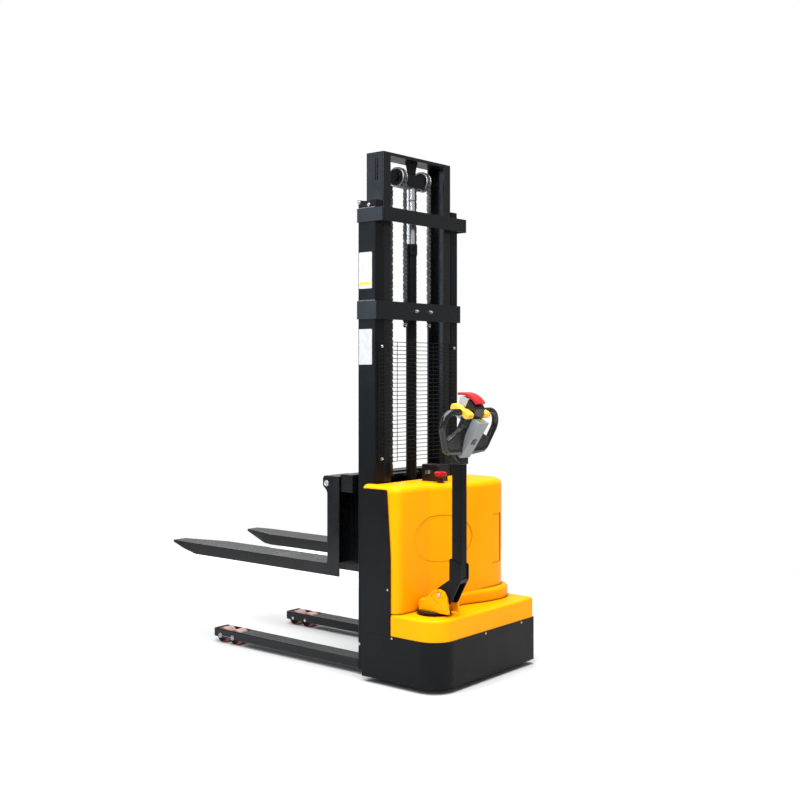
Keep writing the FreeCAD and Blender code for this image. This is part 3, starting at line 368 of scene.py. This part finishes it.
def bevelled(node, width, segments, material=None, shape=None):
    """The CAD shape again with its hard edges rounded over."""
    bm = cad_copy(node)
    if shape:
        shape(bm)
    edges = [e for e in bm.edges
             if len(e.link_faces) == 2 and e.calc_face_angle(0) > SHARP_ANGLE]
    bmesh.ops.bevel(bm, geom=edges, offset=width, offset_type="OFFSET", segments=segments,
                    profile=0.6, affect="EDGES", clamp_overlap=True)
    piece(node + "_skin", bm, BODY_OF[node], SLOT_OF[node], (node,), material, weighted=True)


def moulded(node, voxel, rounds, shape=None):
    """The CAD shape remeshed and softened like a moulding, then reshaped by a rule."""
    bm = cad_copy(node)
    bmesh.ops.triangulate(bm, faces=bm.faces)
    mesh = bpy.data.meshes.new(node + "_moulded")
    bm.to_mesh(mesh)
    bm.free()
    thing = new_object(node + "_moulded", mesh, MATERIALS[SLOT_OF[node]])
    remesh = thing.modifiers.new("remesh", "REMESH")
    remesh.mode = "VOXEL"
    remesh.voxel_size = voxel
    smooth = thing.modifiers.new("smooth", "SMOOTH")
    smooth.iterations = rounds
    smooth.factor = 0.5
    graph = bpy.context.evaluated_depsgraph_get()
    made = bpy.data.meshes.new_from_object(thing.evaluated_get(graph))
    thing.modifiers.clear()
    thing.data = made
    if shape:
        for vertex in made.vertices:
            vertex.co = shape(vertex.co.copy())
    for polygon in made.polygons:
        polygon.use_smooth = True
    made.materials.clear()
    made.materials.append(MATERIALS[SLOT_OF[node]])
    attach(thing, BODY_OF[node])
    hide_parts(node)


def lathe(bm, profile, centre, axis, segments=40, material_index=None):
    """Turn a closed profile of (along, radius) round an axis through a centre."""
    axis = Vector(axis).normalized()
    side = axis.orthogonal().normalized()
    other = axis.cross(side)
    rings = []
    for step in range(segments):
        angle = 2 * math.pi * step / segments
        ray = side * math.cos(angle) + other * math.sin(angle)
        rings.append([bm.verts.new(centre + axis * a + ray * r) for a, r in profile])
    count = len(profile)
    for step in range(segments):
        here, there = rings[step], rings[(step + 1) % segments]
        for index in range(count):
            after = (index + 1) % count
            if profile[index][1] < 1e-7 and profile[after][1] < 1e-7:
                continue
            face = bm.faces.new((here[index], here[after], there[after], there[index]))
            if material_index:
                face.material_index = material_index(index)


def cleaned(bm):
    bmesh.ops.remove_doubles(bm, verts=bm.verts, dist=1e-6)
    bmesh.ops.dissolve_degenerate(bm, dist=1e-7, edges=bm.edges)
    bmesh.ops.recalc_face_normals(bm, faces=bm.faces)
    return bm


def islands(node):
    """(low, high) corners of each separate solid in a CAD node."""
    bm = bmesh.new()
    bm.from_mesh(NODES[node].data)
    bmesh.ops.remove_doubles(bm, verts=bm.verts, dist=2e-6)
    left, found = set(bm.verts), []
    while left:
        stack, group = [left.pop()], []
        while stack:
            vertex = stack.pop()
            group.append(vertex.co.copy())
            for edge in vertex.link_edges:
                other = edge.other_vert(vertex)
                if other in left:
                    left.remove(other)
                    stack.append(other)
        found.append((Vector([min(c[i] for c in group) for i in range(3)]),
                      Vector([max(c[i] for c in group) for i in range(3)])))
    bm.free()
    return sorted(found, key=lambda pair: tuple(round(v, 4) for v in pair[0]))


def extruded(bm, outline, direction, depth):
    """A prism from a planar outline of points."""
    bottom = [bm.verts.new(point) for point in outline]
    top = [bm.verts.new(Vector(point) + direction * depth) for point in outline]
    bm.faces.new(bottom)
    bm.faces.new(list(reversed(top)))
    count = len(outline)
    for index in range(count):
        after = (index + 1) % count
        bm.faces.new((bottom[after], bottom[index], top[index], top[after]))


# ------------------------------------------------------------------ steel parts

HANGER_FOOT, HANGER_HALF, HANGER_WAIST, HANGER_STEPS = 2.2635, 0.04, 0.58, 6
THIN_EDGE, PLAIN_EDGE, FOLDED_EDGE = 0.0004, 0.0014, 0.003


def flared_hanger(bm):
    """Narrow the crosshead's hanger just above the bar, so that it flares to the crown."""
    centre, top = middle("crosshead").x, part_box("crosshead")[1].z
    for step in range(HANGER_STEPS):
        level = HANGER_FOOT + (top - HANGER_FOOT) * step / HANGER_STEPS
        bmesh.ops.bisect_plane(bm, geom=bm.verts[:] + bm.edges[:] + bm.faces[:], dist=1e-6,
                               plane_co=(0, 0, level), plane_no=(0, 0, 1))
    for vertex in bm.verts:
        rise = (vertex.co.z - HANGER_FOOT) / (top - HANGER_FOOT)
        if rise > -1e-4 and abs(vertex.co.x - centre) < HANGER_HALF:
            width = HANGER_WAIST + (1 - HANGER_WAIST) * rise ** 2
            vertex.co.x = centre + (vertex.co.x - centre) * width


for name in ("chassis_base", "side_plate_left", "side_plate_right", "leg_left", "leg_right",
             "outer_mast_left", "outer_mast_right", "mast_top_crossbar", "mast_mid_crossbar",
             "mast_foot", "inner_mast_left", "inner_mast_right", "inner_mast_crown",
             "inner_mast_tie", "crosshead", "carriage_frame", "fork_left", "fork_right",
             "tiller_bracket", "tiller_tube", "caster_fork", "drive_gearbox",
             "hydraulic_unit", "lift_cylinder", "head_console", "switch_box", "steer_ring",
             "head_cap", "head_housing", "lift_rocker", "belly_button",
             "battery_display", "lower_cover", "upper_cover", "ignition_key", "tiller_hood"):
    thin = name in ("battery_display", "lift_rocker", "ignition_key")
    folded = name.startswith(("leg_", "fork_"))
    satin = folded or name.startswith(("mast_top", "mast_mid", "inner_mast", "carriage"))
    width = THIN_EDGE if thin else FOLDED_EDGE if folded else PLAIN_EDGE
    bevelled(name, width, 3 if folded else 2, material=SATIN_BLACK if satin else None,
             shape=flared_hanger if name == "crosshead" else None)

moulded("head_shell", 0.0022, 6)

JOINTS = {joint["name"]: joint for joint in RECORD["behaviour"]["joints"]}
THROTTLE_SHAFT = Vector(JOINTS["throttle_turn"]["pos_m"])
HEAD_UP = -Vector(JOINTS["belly_press"]["axis"])
HEAD_ALONG = Vector((0, HEAD_UP.z, -HEAD_UP.y))
WING_START, WAIST_AT, WAIST_LENGTH, WAIST_DEPTH = 0.037, 0.006, 0.02, 0.42


def waisted(point):
    """Narrow the throttle's wings halfway along, like a figure of eight."""
    offset = point - THROTTLE_SHAFT
    if abs(offset.x) < WING_START:
        return point
    distance = (offset.dot(HEAD_ALONG) - WAIST_AT) / WAIST_LENGTH
    return point - HEAD_UP * offset.dot(HEAD_UP) * WAIST_DEPTH * math.exp(-distance ** 2)


moulded("throttle", 0.0015, 4, waisted)

# ------------------------------------------------------------------ turned parts


def turned(node, axis, rows, slots=None, segments=48):
    """A turned piece in place of a CAD node: rows of (along, radius) in mm from its middle.

    slots holds a list of slot names and, for each stretch of the profile, which one it has.
    """
    bm = bmesh.new()
    profile = [(along * MM, radius * MM) for along, radius in rows]
    lathe(bm, profile, middle(node), axis, segments,
          (lambda index: slots[1][index]) if slots else None)
    names = slots[0] if slots else [SLOT_OF[node]]
    piece(node + "_turned", cleaned(bm), BODY_OF[node], SLOT_OF[node], (node,),
          [MATERIALS[item] for item in names])


def both_ends(rows):
    """Complete a symmetric profile from its positive half, outermost row first."""
    return [(-along, radius) for along, radius in rows] + list(reversed(rows))


def end_marks(marks):
    """The slot marks of a symmetric profile, plain across its middle."""
    return marks + [0] + list(reversed(marks))


# Each load roller has a pale pink tread between dark red shoulders and black hub faces. The pale
# tread is partly a painted reflection, and the dark red shoulders are partly painted shade.
for corner in ("left_front", "left_back", "right_front", "right_back"):
    turned("load_roller_" + corner, (1, 0, 0), both_ends(
        [(34, 8.6), (34, 16), (31, 17.5), (30.5, 25), (33, 27), (34.6, 33), (33, 35.6),
         (29, 37)]),
        (["load_roller_pu", "drive_tyre_pu", "black_steel"],
         end_marks([2, 2, 2, 2, 2, 1, 1]) + [2]))

turned("drive_wheel", (1, 0, 0), both_ends(
    [(30, 20.5), (30, 42), (22, 46), (18, 52), (18, 68), (26, 74), (34, 78), (34.8, 98),
     (32, 103), (26, 105), (14.5, 105), (13.5, 102.5), (10.5, 102.5), (9.5, 105)]),
    (["drive_tyre_pu", "roller_steel"], end_marks([1] * 6 + [0] * 7) + [1]), 72)
turned("caster_wheel", (1, 0, 0), both_ends(
    [(24, 7.6), (24, 17), (16, 19), (13, 24), (13, 40), (18, 44), (24, 47), (24.8, 59),
     (21, 63.5), (15, 65)]),
    (["caster_tyre_pu", "roller_steel"], end_marks([1] * 6 + [0] * 3) + [1]), 60)

for side in ("left", "right"):
    turned("chain_wheel_" + side, (1, 0, 0), both_ends(
        [(16.6, 12.3), (16.6, 24), (13, 27), (13, 36), (15.5, 39), (16.6, 44.5), (15.4, 46.3),
         (12.2, 46.4), (11.3, 45), (11.2, 37.3)]),
        (["roller_steel", "black_steel"], end_marks([1, 1, 1, 1, 0, 0, 0, 0, 0]) + [1]), 56)

turned("estop_cap", (0, 0, 1), [(-21, 0), (-21, 9), (-4, 10), (-1, 13), (0, 25), (1.4, 26.7),
                                (3, 27), (14, 27), (16.4, 26), (18, 23), (19.8, 15),
                                (20.6, 8), (21, 0)], None, 56)
turned("estop_base", (0, 0, 1), [(-10, 10.5), (-10, 14.6), (-6, 15), (2, 15), (3, 14), (6, 14),
                                 (7, 15), (9, 15), (10, 14), (10, 10.5)], None, 48)


def cad_scatter(node, rows_of):
    """Turned heads in place of each loose solid of a node, along each one's own axis."""
    bm = bmesh.new()
    for low, high in islands(node):
        centre, size = (low + high) / 2, high - low
        lengths = [abs(size[(i + 1) % 3] - size[(i + 2) % 3]) for i in range(3)]
        along = lengths.index(min(lengths))
        away = Vector([0, 0, 0])
        away[along] = 1 if along == 0 and centre.x > 0 else -1
        radius = size[(along + 1) % 3] / 2
        lathe(bm, rows_of(size[along] / 2, radius), centre, away, 24)
    piece(node + "_heads", cleaned(bm), BODY_OF[node], SLOT_OF[node], (node,))


def pan_head(half, radius):
    """A domed head over a thin washer, with a round socket in the middle."""
    return [(-half, 0), (-half, radius), (-half * 0.6, radius), (-half * 0.55, radius * 0.86),
            (half * 0.5, radius * 0.8), (half * 0.9, radius * 0.6), (half, radius * 0.42),
            (half * 0.9, radius * 0.36), (half * 0.1, radius * 0.32), (half * 0.1, 0)]


def nut_stack(half, radius):
    return [(-half, 0), (-half, radius), (-half * 0.7, radius), (-half * 0.7, radius * 0.9),
            (half * 0.05, radius * 0.9), (half * 0.1, radius * 0.5), (half * 0.9, radius * 0.5),
            (half, radius * 0.4), (half, 0)]


LONGEST_PAN_HEAD = 0.01
cad_scatter("mounting_screws", lambda half, radius: (
    nut_stack if 2 * half > LONGEST_PAN_HEAD else pan_head)(half, radius))
cad_scatter("load_axles", lambda half, radius: [
    (-half, 0), (-half, radius * 0.8), (-half * 0.97, radius), (half * 0.97, radius),
    (half, radius * 0.8), (half, radius * 0.3), (half * 0.98, radius * 0.25), (half * 0.98, 0)])
cad_scatter("tiller_pin", lambda half, radius: [
    (-half, 0), (-half, radius * 0.55), (-half * 0.98, radius * 0.85), (-half * 0.95, radius),
    (half * 0.95, radius), (half * 0.98, radius * 0.85), (half, radius * 0.55), (half, 0)])


def ribbed_rollers(half, radius):
    return [(-half, 0), (-half, radius * 0.45), (-half * 0.75, radius * 0.5),
            (-half * 0.7, radius * 0.94), (-half * 0.55, radius), (half * 0.8, radius),
            (half, radius * 0.95), (half, radius * 0.62), (half * 0.86, radius * 0.58),
            (half * 0.86, radius * 0.3), (half, radius * 0.28), (half, 0)]


cad_scatter("mast_rollers", ribbed_rollers)
cad_scatter("carriage_rollers", ribbed_rollers)

rod_low, rod_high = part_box("piston_rod")
rod_half = (rod_high.z - rod_low.z) / 2 / MM
turned("piston_rod", (0, 0, 1), [
    (-rod_half, 0), (-rod_half, 18.5), (-rod_half + 2, 19.6), (-rod_half + 14, 19.6),
    (-rod_half + 15, 17.8), (-rod_half + 19, 17.8), (-rod_half + 20, 19.6),
    (-rod_half + 43, 19.6), (-rod_half + 45, 17.5), (rod_half - 59.5, 17.5),
    (rod_half - 59, 16.9), (rod_half - 56.5, 16.9), (rod_half - 56, 17.5), (rod_half, 17.5),
    (rod_half, 0)], (["rod_chrome", "roller_steel", "black_steel"],
                     [1] * 8 + [0, 2, 2, 2, 0, 0, 0]), 48)

# ------------------------------------------------------------------ hidden gear


battery_low, battery_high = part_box("battery")
bm = cad_copy("battery")
lid = [face for face in bm.faces if face.normal.z > 0.9]
bmesh.ops.inset_individual(bm, faces=lid, thickness=0.006, depth=0)
bmesh.ops.inset_individual(bm, faces=lid, thickness=0.001, depth=-0.004)
walls = [face for face in bm.faces if abs(face.normal.z) < 0.1 and face.calc_area() > 0.01]
bmesh.ops.inset_individual(bm, faces=walls, thickness=0.012, depth=0)
bmesh.ops.inset_individual(bm, faces=walls, thickness=0.002, depth=-0.003)
cells = 12
for index in range(cells):
    spot = Vector((battery_low.x + (index + 0.5) / cells * (battery_high.x - battery_low.x),
                   middle("battery").y, battery_high.z - 0.004))
    lathe(bm, [(-0.001, 0), (-0.001, 0.015), (0.0025, 0.014), (0.0035, 0.011), (0.0035, 0.004),
               (0.0025, 0.003), (0.0025, 0)], spot, (0, 0, 1), 20)
piece("battery_case_cells", cleaned(bm), BODY_OF["battery"], SLOT_OF["battery"], ("battery",))

motor_half = span("drive_motor").z / 2 / MM
motor_rows, motor_radius = [(-motor_half, 0), (-motor_half, 66)], 68
fins = 7
for index in range(fins):
    foot = -motor_half + 4 + index * (2 * motor_half - 12) / fins
    pitch = (2 * motor_half - 12) / fins
    motor_rows += [(foot, motor_radius - 5), (foot + pitch * 0.3, motor_radius - 5),
                   (foot + pitch * 0.4, motor_radius), (foot + pitch * 0.85, motor_radius)]
motor_rows += [(motor_half - 7, 62), (motor_half - 2, 60), (motor_half, 56), (motor_half, 0)]
turned("drive_motor", (0, 0, 1), motor_rows, None, 56)

# ------------------------------------------------------------------ lift chains

PITCH = 0.01905


def link(bm, first, second, x, thickness, radius):
    """One figure-of-eight chain plate between two pins, in a plane of constant x."""
    along = (second - first).normalized()
    across = Vector((0, -along.z, along.y))
    outline = []
    for pin, start in ((second, -90), (first, 90)):
        for step in range(7):
            angle = math.radians(start + 30 * step)
            outline.append(pin + (along * math.cos(angle) + across * math.sin(angle)) * radius)
        waist = (first + second) / 2 + across * radius * (0.72 if start < 0 else -0.72)
        outline.append(waist)
    extruded(bm, [Vector((x, p.y, p.z)) for p in outline], Vector((1, 0, 0)), thickness)


def chain(bm, pins, centre_x, half_width):
    """Leaf chain through a row of pins: plates in turn on the inside and outside."""
    plate = half_width * 2 / 7.6
    for index in range(len(pins) - 1):
        lanes = (0, 2, 4, 6) if index % 2 else (1, 3, 5)
        for lane in lanes:
            x = centre_x - half_width + 0.3 * plate + lane * plate
            link(bm, pins[index], pins[index + 1], x, plate * 0.86, 0.0058)
    for pin in pins:
        lathe(bm, [(-half_width, 0), (-half_width, 0.0022), (half_width, 0.0022),
                   (half_width, 0)], Vector((centre_x, pin.y, pin.z)), (1, 0, 0), 8)


def run_pins(node):
    low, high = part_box(node)
    y = (low.y + high.y) / 2
    count = round((high.z - low.z) / PITCH)
    return [Vector((0, y, low.z + (high.z - low.z) * i / count)) for i in range(count + 1)]


CHAIN_LANES = [((low.x + high.x) / 2, (high.x - low.x) / 2) for low, high in
               islands("chain_rear_runs")]
WHEEL_Y, WHEEL_Z = middle("chain_wheel_left").y, middle("chain_wheel_left").z

for node, start, end in (("chain_rear_runs", "truck", "inner_mast"),
                         ("chain_front_runs", "carriage", "inner_mast")):
    bm = bmesh.new()
    for lane_x, lane_half in CHAIN_LANES:
        chain(bm, run_pins(node), lane_x, lane_half)
    links = piece(node + "_links", cleaned(bm), None, "chain_steel", (node,))
    low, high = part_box(node)
    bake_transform(links)

bm = bmesh.new()
wrap_radius = (middle("chain_front_runs").y - middle("chain_rear_runs").y) / 2
wrap_count = round(math.pi * wrap_radius / PITCH)
wrap_pins = [Vector((0, WHEEL_Y - wrap_radius * math.cos(math.pi * i / wrap_count),
                     WHEEL_Z + wrap_radius * math.sin(math.pi * i / wrap_count)))
             for i in range(wrap_count + 1)]
for lane_x, lane_half in CHAIN_LANES:
    chain(bm, wrap_pins, lane_x, lane_half)
piece("chain_wrap_links", cleaned(bm), "inner_mast", "chain_steel", ("chain_wraps",))

# ------------------------------------------------------------------ wire guard


def wire(bm, first, last, radius, segments=8):
    direction = last - first
    length = direction.length
    lathe(bm, [(0, 0), (0, radius), (length, radius), (length, 0)], first, direction, segments)


guard_low, guard_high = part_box("mast_guard")
GUARD_WIRE, GUARD_ROWS = 0.0015, 30
UPRIGHTS, UPRIGHT_SPACING, UPRIGHT_INSET = 5, 0.132, 0.0013
guard_height = guard_high.z - guard_low.z - 2 * GUARD_WIRE
bm = bmesh.new()
for index in range(GUARD_ROWS):
    z = guard_low.z + GUARD_WIRE + guard_height * index / (GUARD_ROWS - 1)
    wire(bm, Vector((guard_low.x, guard_high.y - GUARD_WIRE, z)),
         Vector((guard_high.x, guard_high.y - GUARD_WIRE, z)), GUARD_WIRE)
for index in range(UPRIGHTS):
    x = guard_low.x + GUARD_WIRE + UPRIGHT_SPACING * index
    wire(bm, Vector((x, guard_low.y + UPRIGHT_INSET, guard_low.z)),
         Vector((x, guard_low.y + UPRIGHT_INSET, guard_high.z)), GUARD_WIRE)
piece("mast_guard_wires", cleaned(bm), "truck", "black_steel", ("mast_guard",))

# ------------------------------------------------------------------ small hardware, welds, labels

MAST_FACE_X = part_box("outer_mast_left")[0].x
LEFT, RIGHT, UP = Vector((-1, 0, 0)), Vector((1, 0, 0)), Vector((0, 0, 1))


def corner_points(face_x, depth, height, radius):
    """A rounded rectangle in a plane of constant x."""
    points = []
    for y, z, start in ((depth[0] + radius, height[0] + radius, 180),
                        (depth[1] - radius, height[0] + radius, 270),
                        (depth[1] - radius, height[1] - radius, 0),
                        (depth[0] + radius, height[1] - radius, 90)):
        for step in range(5):
            angle = math.radians(start + 22.5 * step)
            points.append(Vector((face_x, y + radius * math.cos(angle),
                                  z + radius * math.sin(angle))))
    return points


def blank_label(name, depth, height, proud, material, radius=0.004):
    """A blank label on the mast's left face: thin film with rounded corners."""
    bm = bmesh.new()
    extruded(bm, corner_points(MAST_FACE_X - proud, depth, height, radius), RIGHT,
             proud + 0.0003)
    piece(name, cleaned(bm), "truck", "black_steel", (), material)


LABEL_DEPTH, LABEL_PROUD = (-0.415, -0.338), 0.0004
LABEL_HEIGHTS = {"label_upper": (1.725, 1.887), "label_lower": (1.387, 1.545)}
STRIPE_DEPTH, STRIPE_HEIGHT, STRIPE_PROUD = (-0.412, -0.341), (1.742, 1.754), 0.0006
for name, height in LABEL_HEIGHTS.items():
    blank_label(name, LABEL_DEPTH, height, LABEL_PROUD, LABEL_WHITE)
blank_label("label_upper_stripe", STRIPE_DEPTH, STRIPE_HEIGHT, STRIPE_PROUD, LABEL_YELLOW, 0.002)


def bolt(bm, spot, away, radius, height):
    """A six-sided head on a round washer, standing on a face."""
    washer, head = height * 0.28, radius * 0.8
    lathe(bm, [(-0.0005, 0), (-0.0005, radius), (washer, radius), (washer, 0)], spot, away, 24)
    lathe(bm, [(washer * 0.5, 0), (washer * 0.5, head), (height * 0.9, head),
               (height, head * 0.8), (height, 0)], spot, away, 6)


def lock_disc(bm, spot, away, radius):
    """A pin's flat end with a stepped rim."""
    lathe(bm, [(-0.0005, 0), (-0.0005, radius), (0.0022, radius), (0.003, radius * 0.93),
               (0.003, radius * 0.7), (0.002, radius * 0.64), (0.002, radius * 0.2),
               (0.0028, radius * 0.16), (0.0028, 0)], spot, away, 40)


TAB_FACE_X = MAST_FACE_X + 0.002
TAB_BOLTS, FOOT_BOLT = ((-0.338, 2.111), (-0.396, 2.097)), (-0.3395, 0.1385)
bm = bmesh.new()
for y, z in TAB_BOLTS:
    bolt(bm, Vector((TAB_FACE_X, y, z)), LEFT, 0.0085, 0.007)
bolt(bm, Vector((MAST_FACE_X, *FOOT_BOLT)), LEFT, 0.0066, 0.0045)
piece("mast_bolts", cleaned(bm), "truck", "screw_steel")

FORK_PIN, FORK_PIN_RADIUS = (-0.146, 0.845), 0.014
bm = bmesh.new()
for node, side, away in (("fork_left", 0, LEFT), ("fork_right", 1, RIGHT)):
    lock_disc(bm, Vector((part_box(node)[side].x, *FORK_PIN)), away, FORK_PIN_RADIUS)
piece("fork_pin_ends", cleaned(bm), "carriage", "screw_steel")

AXLE_Z = middle("load_roller_left_front").z
KEEPER_RADIUS, KEEPER_WIRE = 0.0125, 0.0016
bm = bmesh.new()
for node, side, away in (("leg_left", 0, LEFT), ("leg_right", 1, RIGHT)):
    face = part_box(node)[side].x
    spots = [Vector((face, middle(name).y, AXLE_Z))
             for name in ("load_roller_left_front", "load_roller_left_back")]
    for spot in spots:
        lock_disc(bm, spot, away, KEEPER_RADIUS)
    proud = away * 0.0012
    wire(bm, spots[1] + proud, spots[0] + proud, KEEPER_WIRE)
piece("axle_keepers", cleaned(bm), "truck", "roller_steel")

STUD_RADIUS = 0.0056
ANCHOR_NUT, ANCHOR_WASHER = (1.5625, 0.0105, 0.008, 6), (1.5745, 0.0115, 0.0022, 24)
bm = bmesh.new()
for lane_x, _lane_half in CHAIN_LANES:
    for foot, radius, height, sides in (ANCHOR_NUT, ANCHOR_WASHER):
        lathe(bm, [(0, STUD_RADIUS), (0, radius), (height, radius), (height, STUD_RADIUS)],
              Vector((lane_x, WHEEL_Y - wrap_radius, foot)), UP, sides)
piece("chain_anchor_nuts", cleaned(bm), "truck", "screw_steel")

barrel_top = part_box("lift_cylinder")[1].z
barrel = Vector((middle("lift_cylinder").x, middle("lift_cylinder").y, barrel_top))
GLAND_RINGS = ((-0.042, 0.0275, 0.0288), (-0.01, 0.0275, 0.0288), (0.0, 0.0178, 0.0225))
bm = bmesh.new()
for level, inner, outer in GLAND_RINGS:
    lathe(bm, [(-0.0015, inner), (-0.0015, outer - 0.0006), (0, outer), (0.0015, outer - 0.0006),
               (0.0015, inner)], barrel + UP * level, UP, 48)
piece("gland_rings", cleaned(bm), "truck", "black_steel")


def weld_bead(bm, first, last, radius, ripple=0.0042):
    """A rippled bead of weld between two points."""
    length = (last - first).length
    count = round(length / ripple)
    rows = [(0, 0), (0, radius * 0.6)]
    for index in range(1, count):
        rows.append((length * index / count, radius * (1.0 if index % 2 else 0.8)))
    rows += [(length, radius * 0.6), (length, 0)]
    lathe(bm, rows, first, last - first, 12)


FORK_HEEL, FORK_WELD_RADIUS = (-0.1485, 0.4805), 0.0045
bm = bmesh.new()
for node in ("fork_left", "fork_right"):
    low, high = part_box(node)
    weld_bead(bm, Vector((low.x + 0.006, *FORK_HEEL)), Vector((high.x - 0.006, *FORK_HEEL)),
              FORK_WELD_RADIUS)
piece("fork_welds", cleaned(bm), "carriage", "black_steel", (), WELD_STEEL)

BAR_WELDS = {"mast_mid_crossbar": (1.6705, 0.0036),
             "mast_top_crossbar": (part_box("mast_top_crossbar")[1].z, 0.0028)}
WELD_X, WELD_BACK = MAST_FACE_X - 0.001, -0.434
bm = bmesh.new()
for node, (level, radius) in BAR_WELDS.items():
    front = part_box(node)[1].y - 0.004
    weld_bead(bm, Vector((WELD_X, WELD_BACK, level)), Vector((WELD_X, front, level)), radius)
piece("crossbar_welds", cleaned(bm), "truck", "black_steel", (), WELD_STEEL)

# ------------------------------------------------------------------ camera, light, floor

FLOOR_RADIUS = 3.3
floor_bm = bmesh.new()
bmesh.ops.create_circle(floor_bm, cap_ends=True, segments=96, radius=FLOOR_RADIUS)
floor_mesh = bpy.data.meshes.new("floor")
floor_bm.to_mesh(floor_mesh)
floor_bm.free()
floor_nodes = Nodes("floor_pale")
reach = floor_nodes.add("ShaderNodeVectorMath", operation="LENGTH")
floor_nodes.join(floor_nodes.coordinates, "Object", reach, 0)
spread = floor_nodes.add("ShaderNodeMath", operation="DIVIDE")
floor_nodes.join(reach, "Value", spread, 0)
spread.inputs[1].default_value = FLOOR_RADIUS
# Painted light: the floor is darker near the middle, where the lamps are strongest, and paler
# towards the rim, where their light falls off.
floor_painted_light = floor_nodes.ramp(spread, "Value", 0.45, 0.85, (0.56,) * 3, (0.97,) * 3)
floor_nodes.join(floor_painted_light, "Color", floor_nodes.shader, "Base Color")
floor_nodes.shader.inputs["Roughness"].default_value = 0.9
floor_nodes.shader.inputs["Specular IOR Level"].default_value = 0.1
floor_nodes.bump(floor_nodes.noise(40.0, 3.0), 0, 0.03, 0.001)
floor = new_object("floor", floor_mesh, floor_nodes.material)

world = bpy.data.worlds.new("studio")
world.use_nodes = True
sky = world.node_tree
sky.nodes["Background"].inputs["Color"].default_value = (1, 1, 1, 1)
light_path = sky.nodes.new("ShaderNodeLightPath")
seen_or_not = sky.nodes.new("ShaderNodeMapRange")
seen_or_not.inputs["To Min"].default_value = 0.45
seen_or_not.inputs["To Max"].default_value = 1.0
sky.links.new(light_path.outputs["Is Camera Ray"], seen_or_not.inputs["Value"])
sky.links.new(seen_or_not.outputs["Result"], sky.nodes["Background"].inputs["Strength"])
bpy.context.scene.world = world


def soft_light(name, place, target, size, power, colour=(1, 1, 1)):
    data = bpy.data.lights.new(name, "AREA")
    data.shape = "DISK"
    data.size = size
    data.energy = power
    data.color = colour
    lamp = bpy.data.objects.new(name, data)
    lamp.location = place
    lamp.rotation_euler = (Vector(target) - Vector(place)).to_track_quat("-Z", "Y").to_euler()
    bpy.context.scene.collection.objects.link(lamp)


soft_light("overhead", (-0.6, -0.6, 5.2), (0, 0, 0), 5.5, 680)
soft_light("key", (-3.6, -2.2, 3.6), (0, -0.3, 0.9), 1.6, 90)
soft_light("rim", (2.6, 3.6, 3.4), (0, 0, 1.0), 2.4, 60)
soft_light("left", (-4.2, 3.2, 2.3), (0, -0.2, 1.4), 2.4, 42, (0.66, 0.82, 1.0))

camera_data = bpy.data.cameras.new("camera")
camera_data.lens = 50.79
camera_data.sensor_width = 36
camera_data.shift_y = -0.0373
camera = bpy.data.objects.new("camera", camera_data)
camera.location = (-4.0684 + MAST_X, -3.7025, 1.3621)
camera.rotation_euler = (math.radians(90), 0, math.radians(-50.308))
bpy.context.scene.collection.objects.link(camera)
bpy.context.scene.camera = camera
bpy.context.scene.view_settings.view_transform = "Standard"
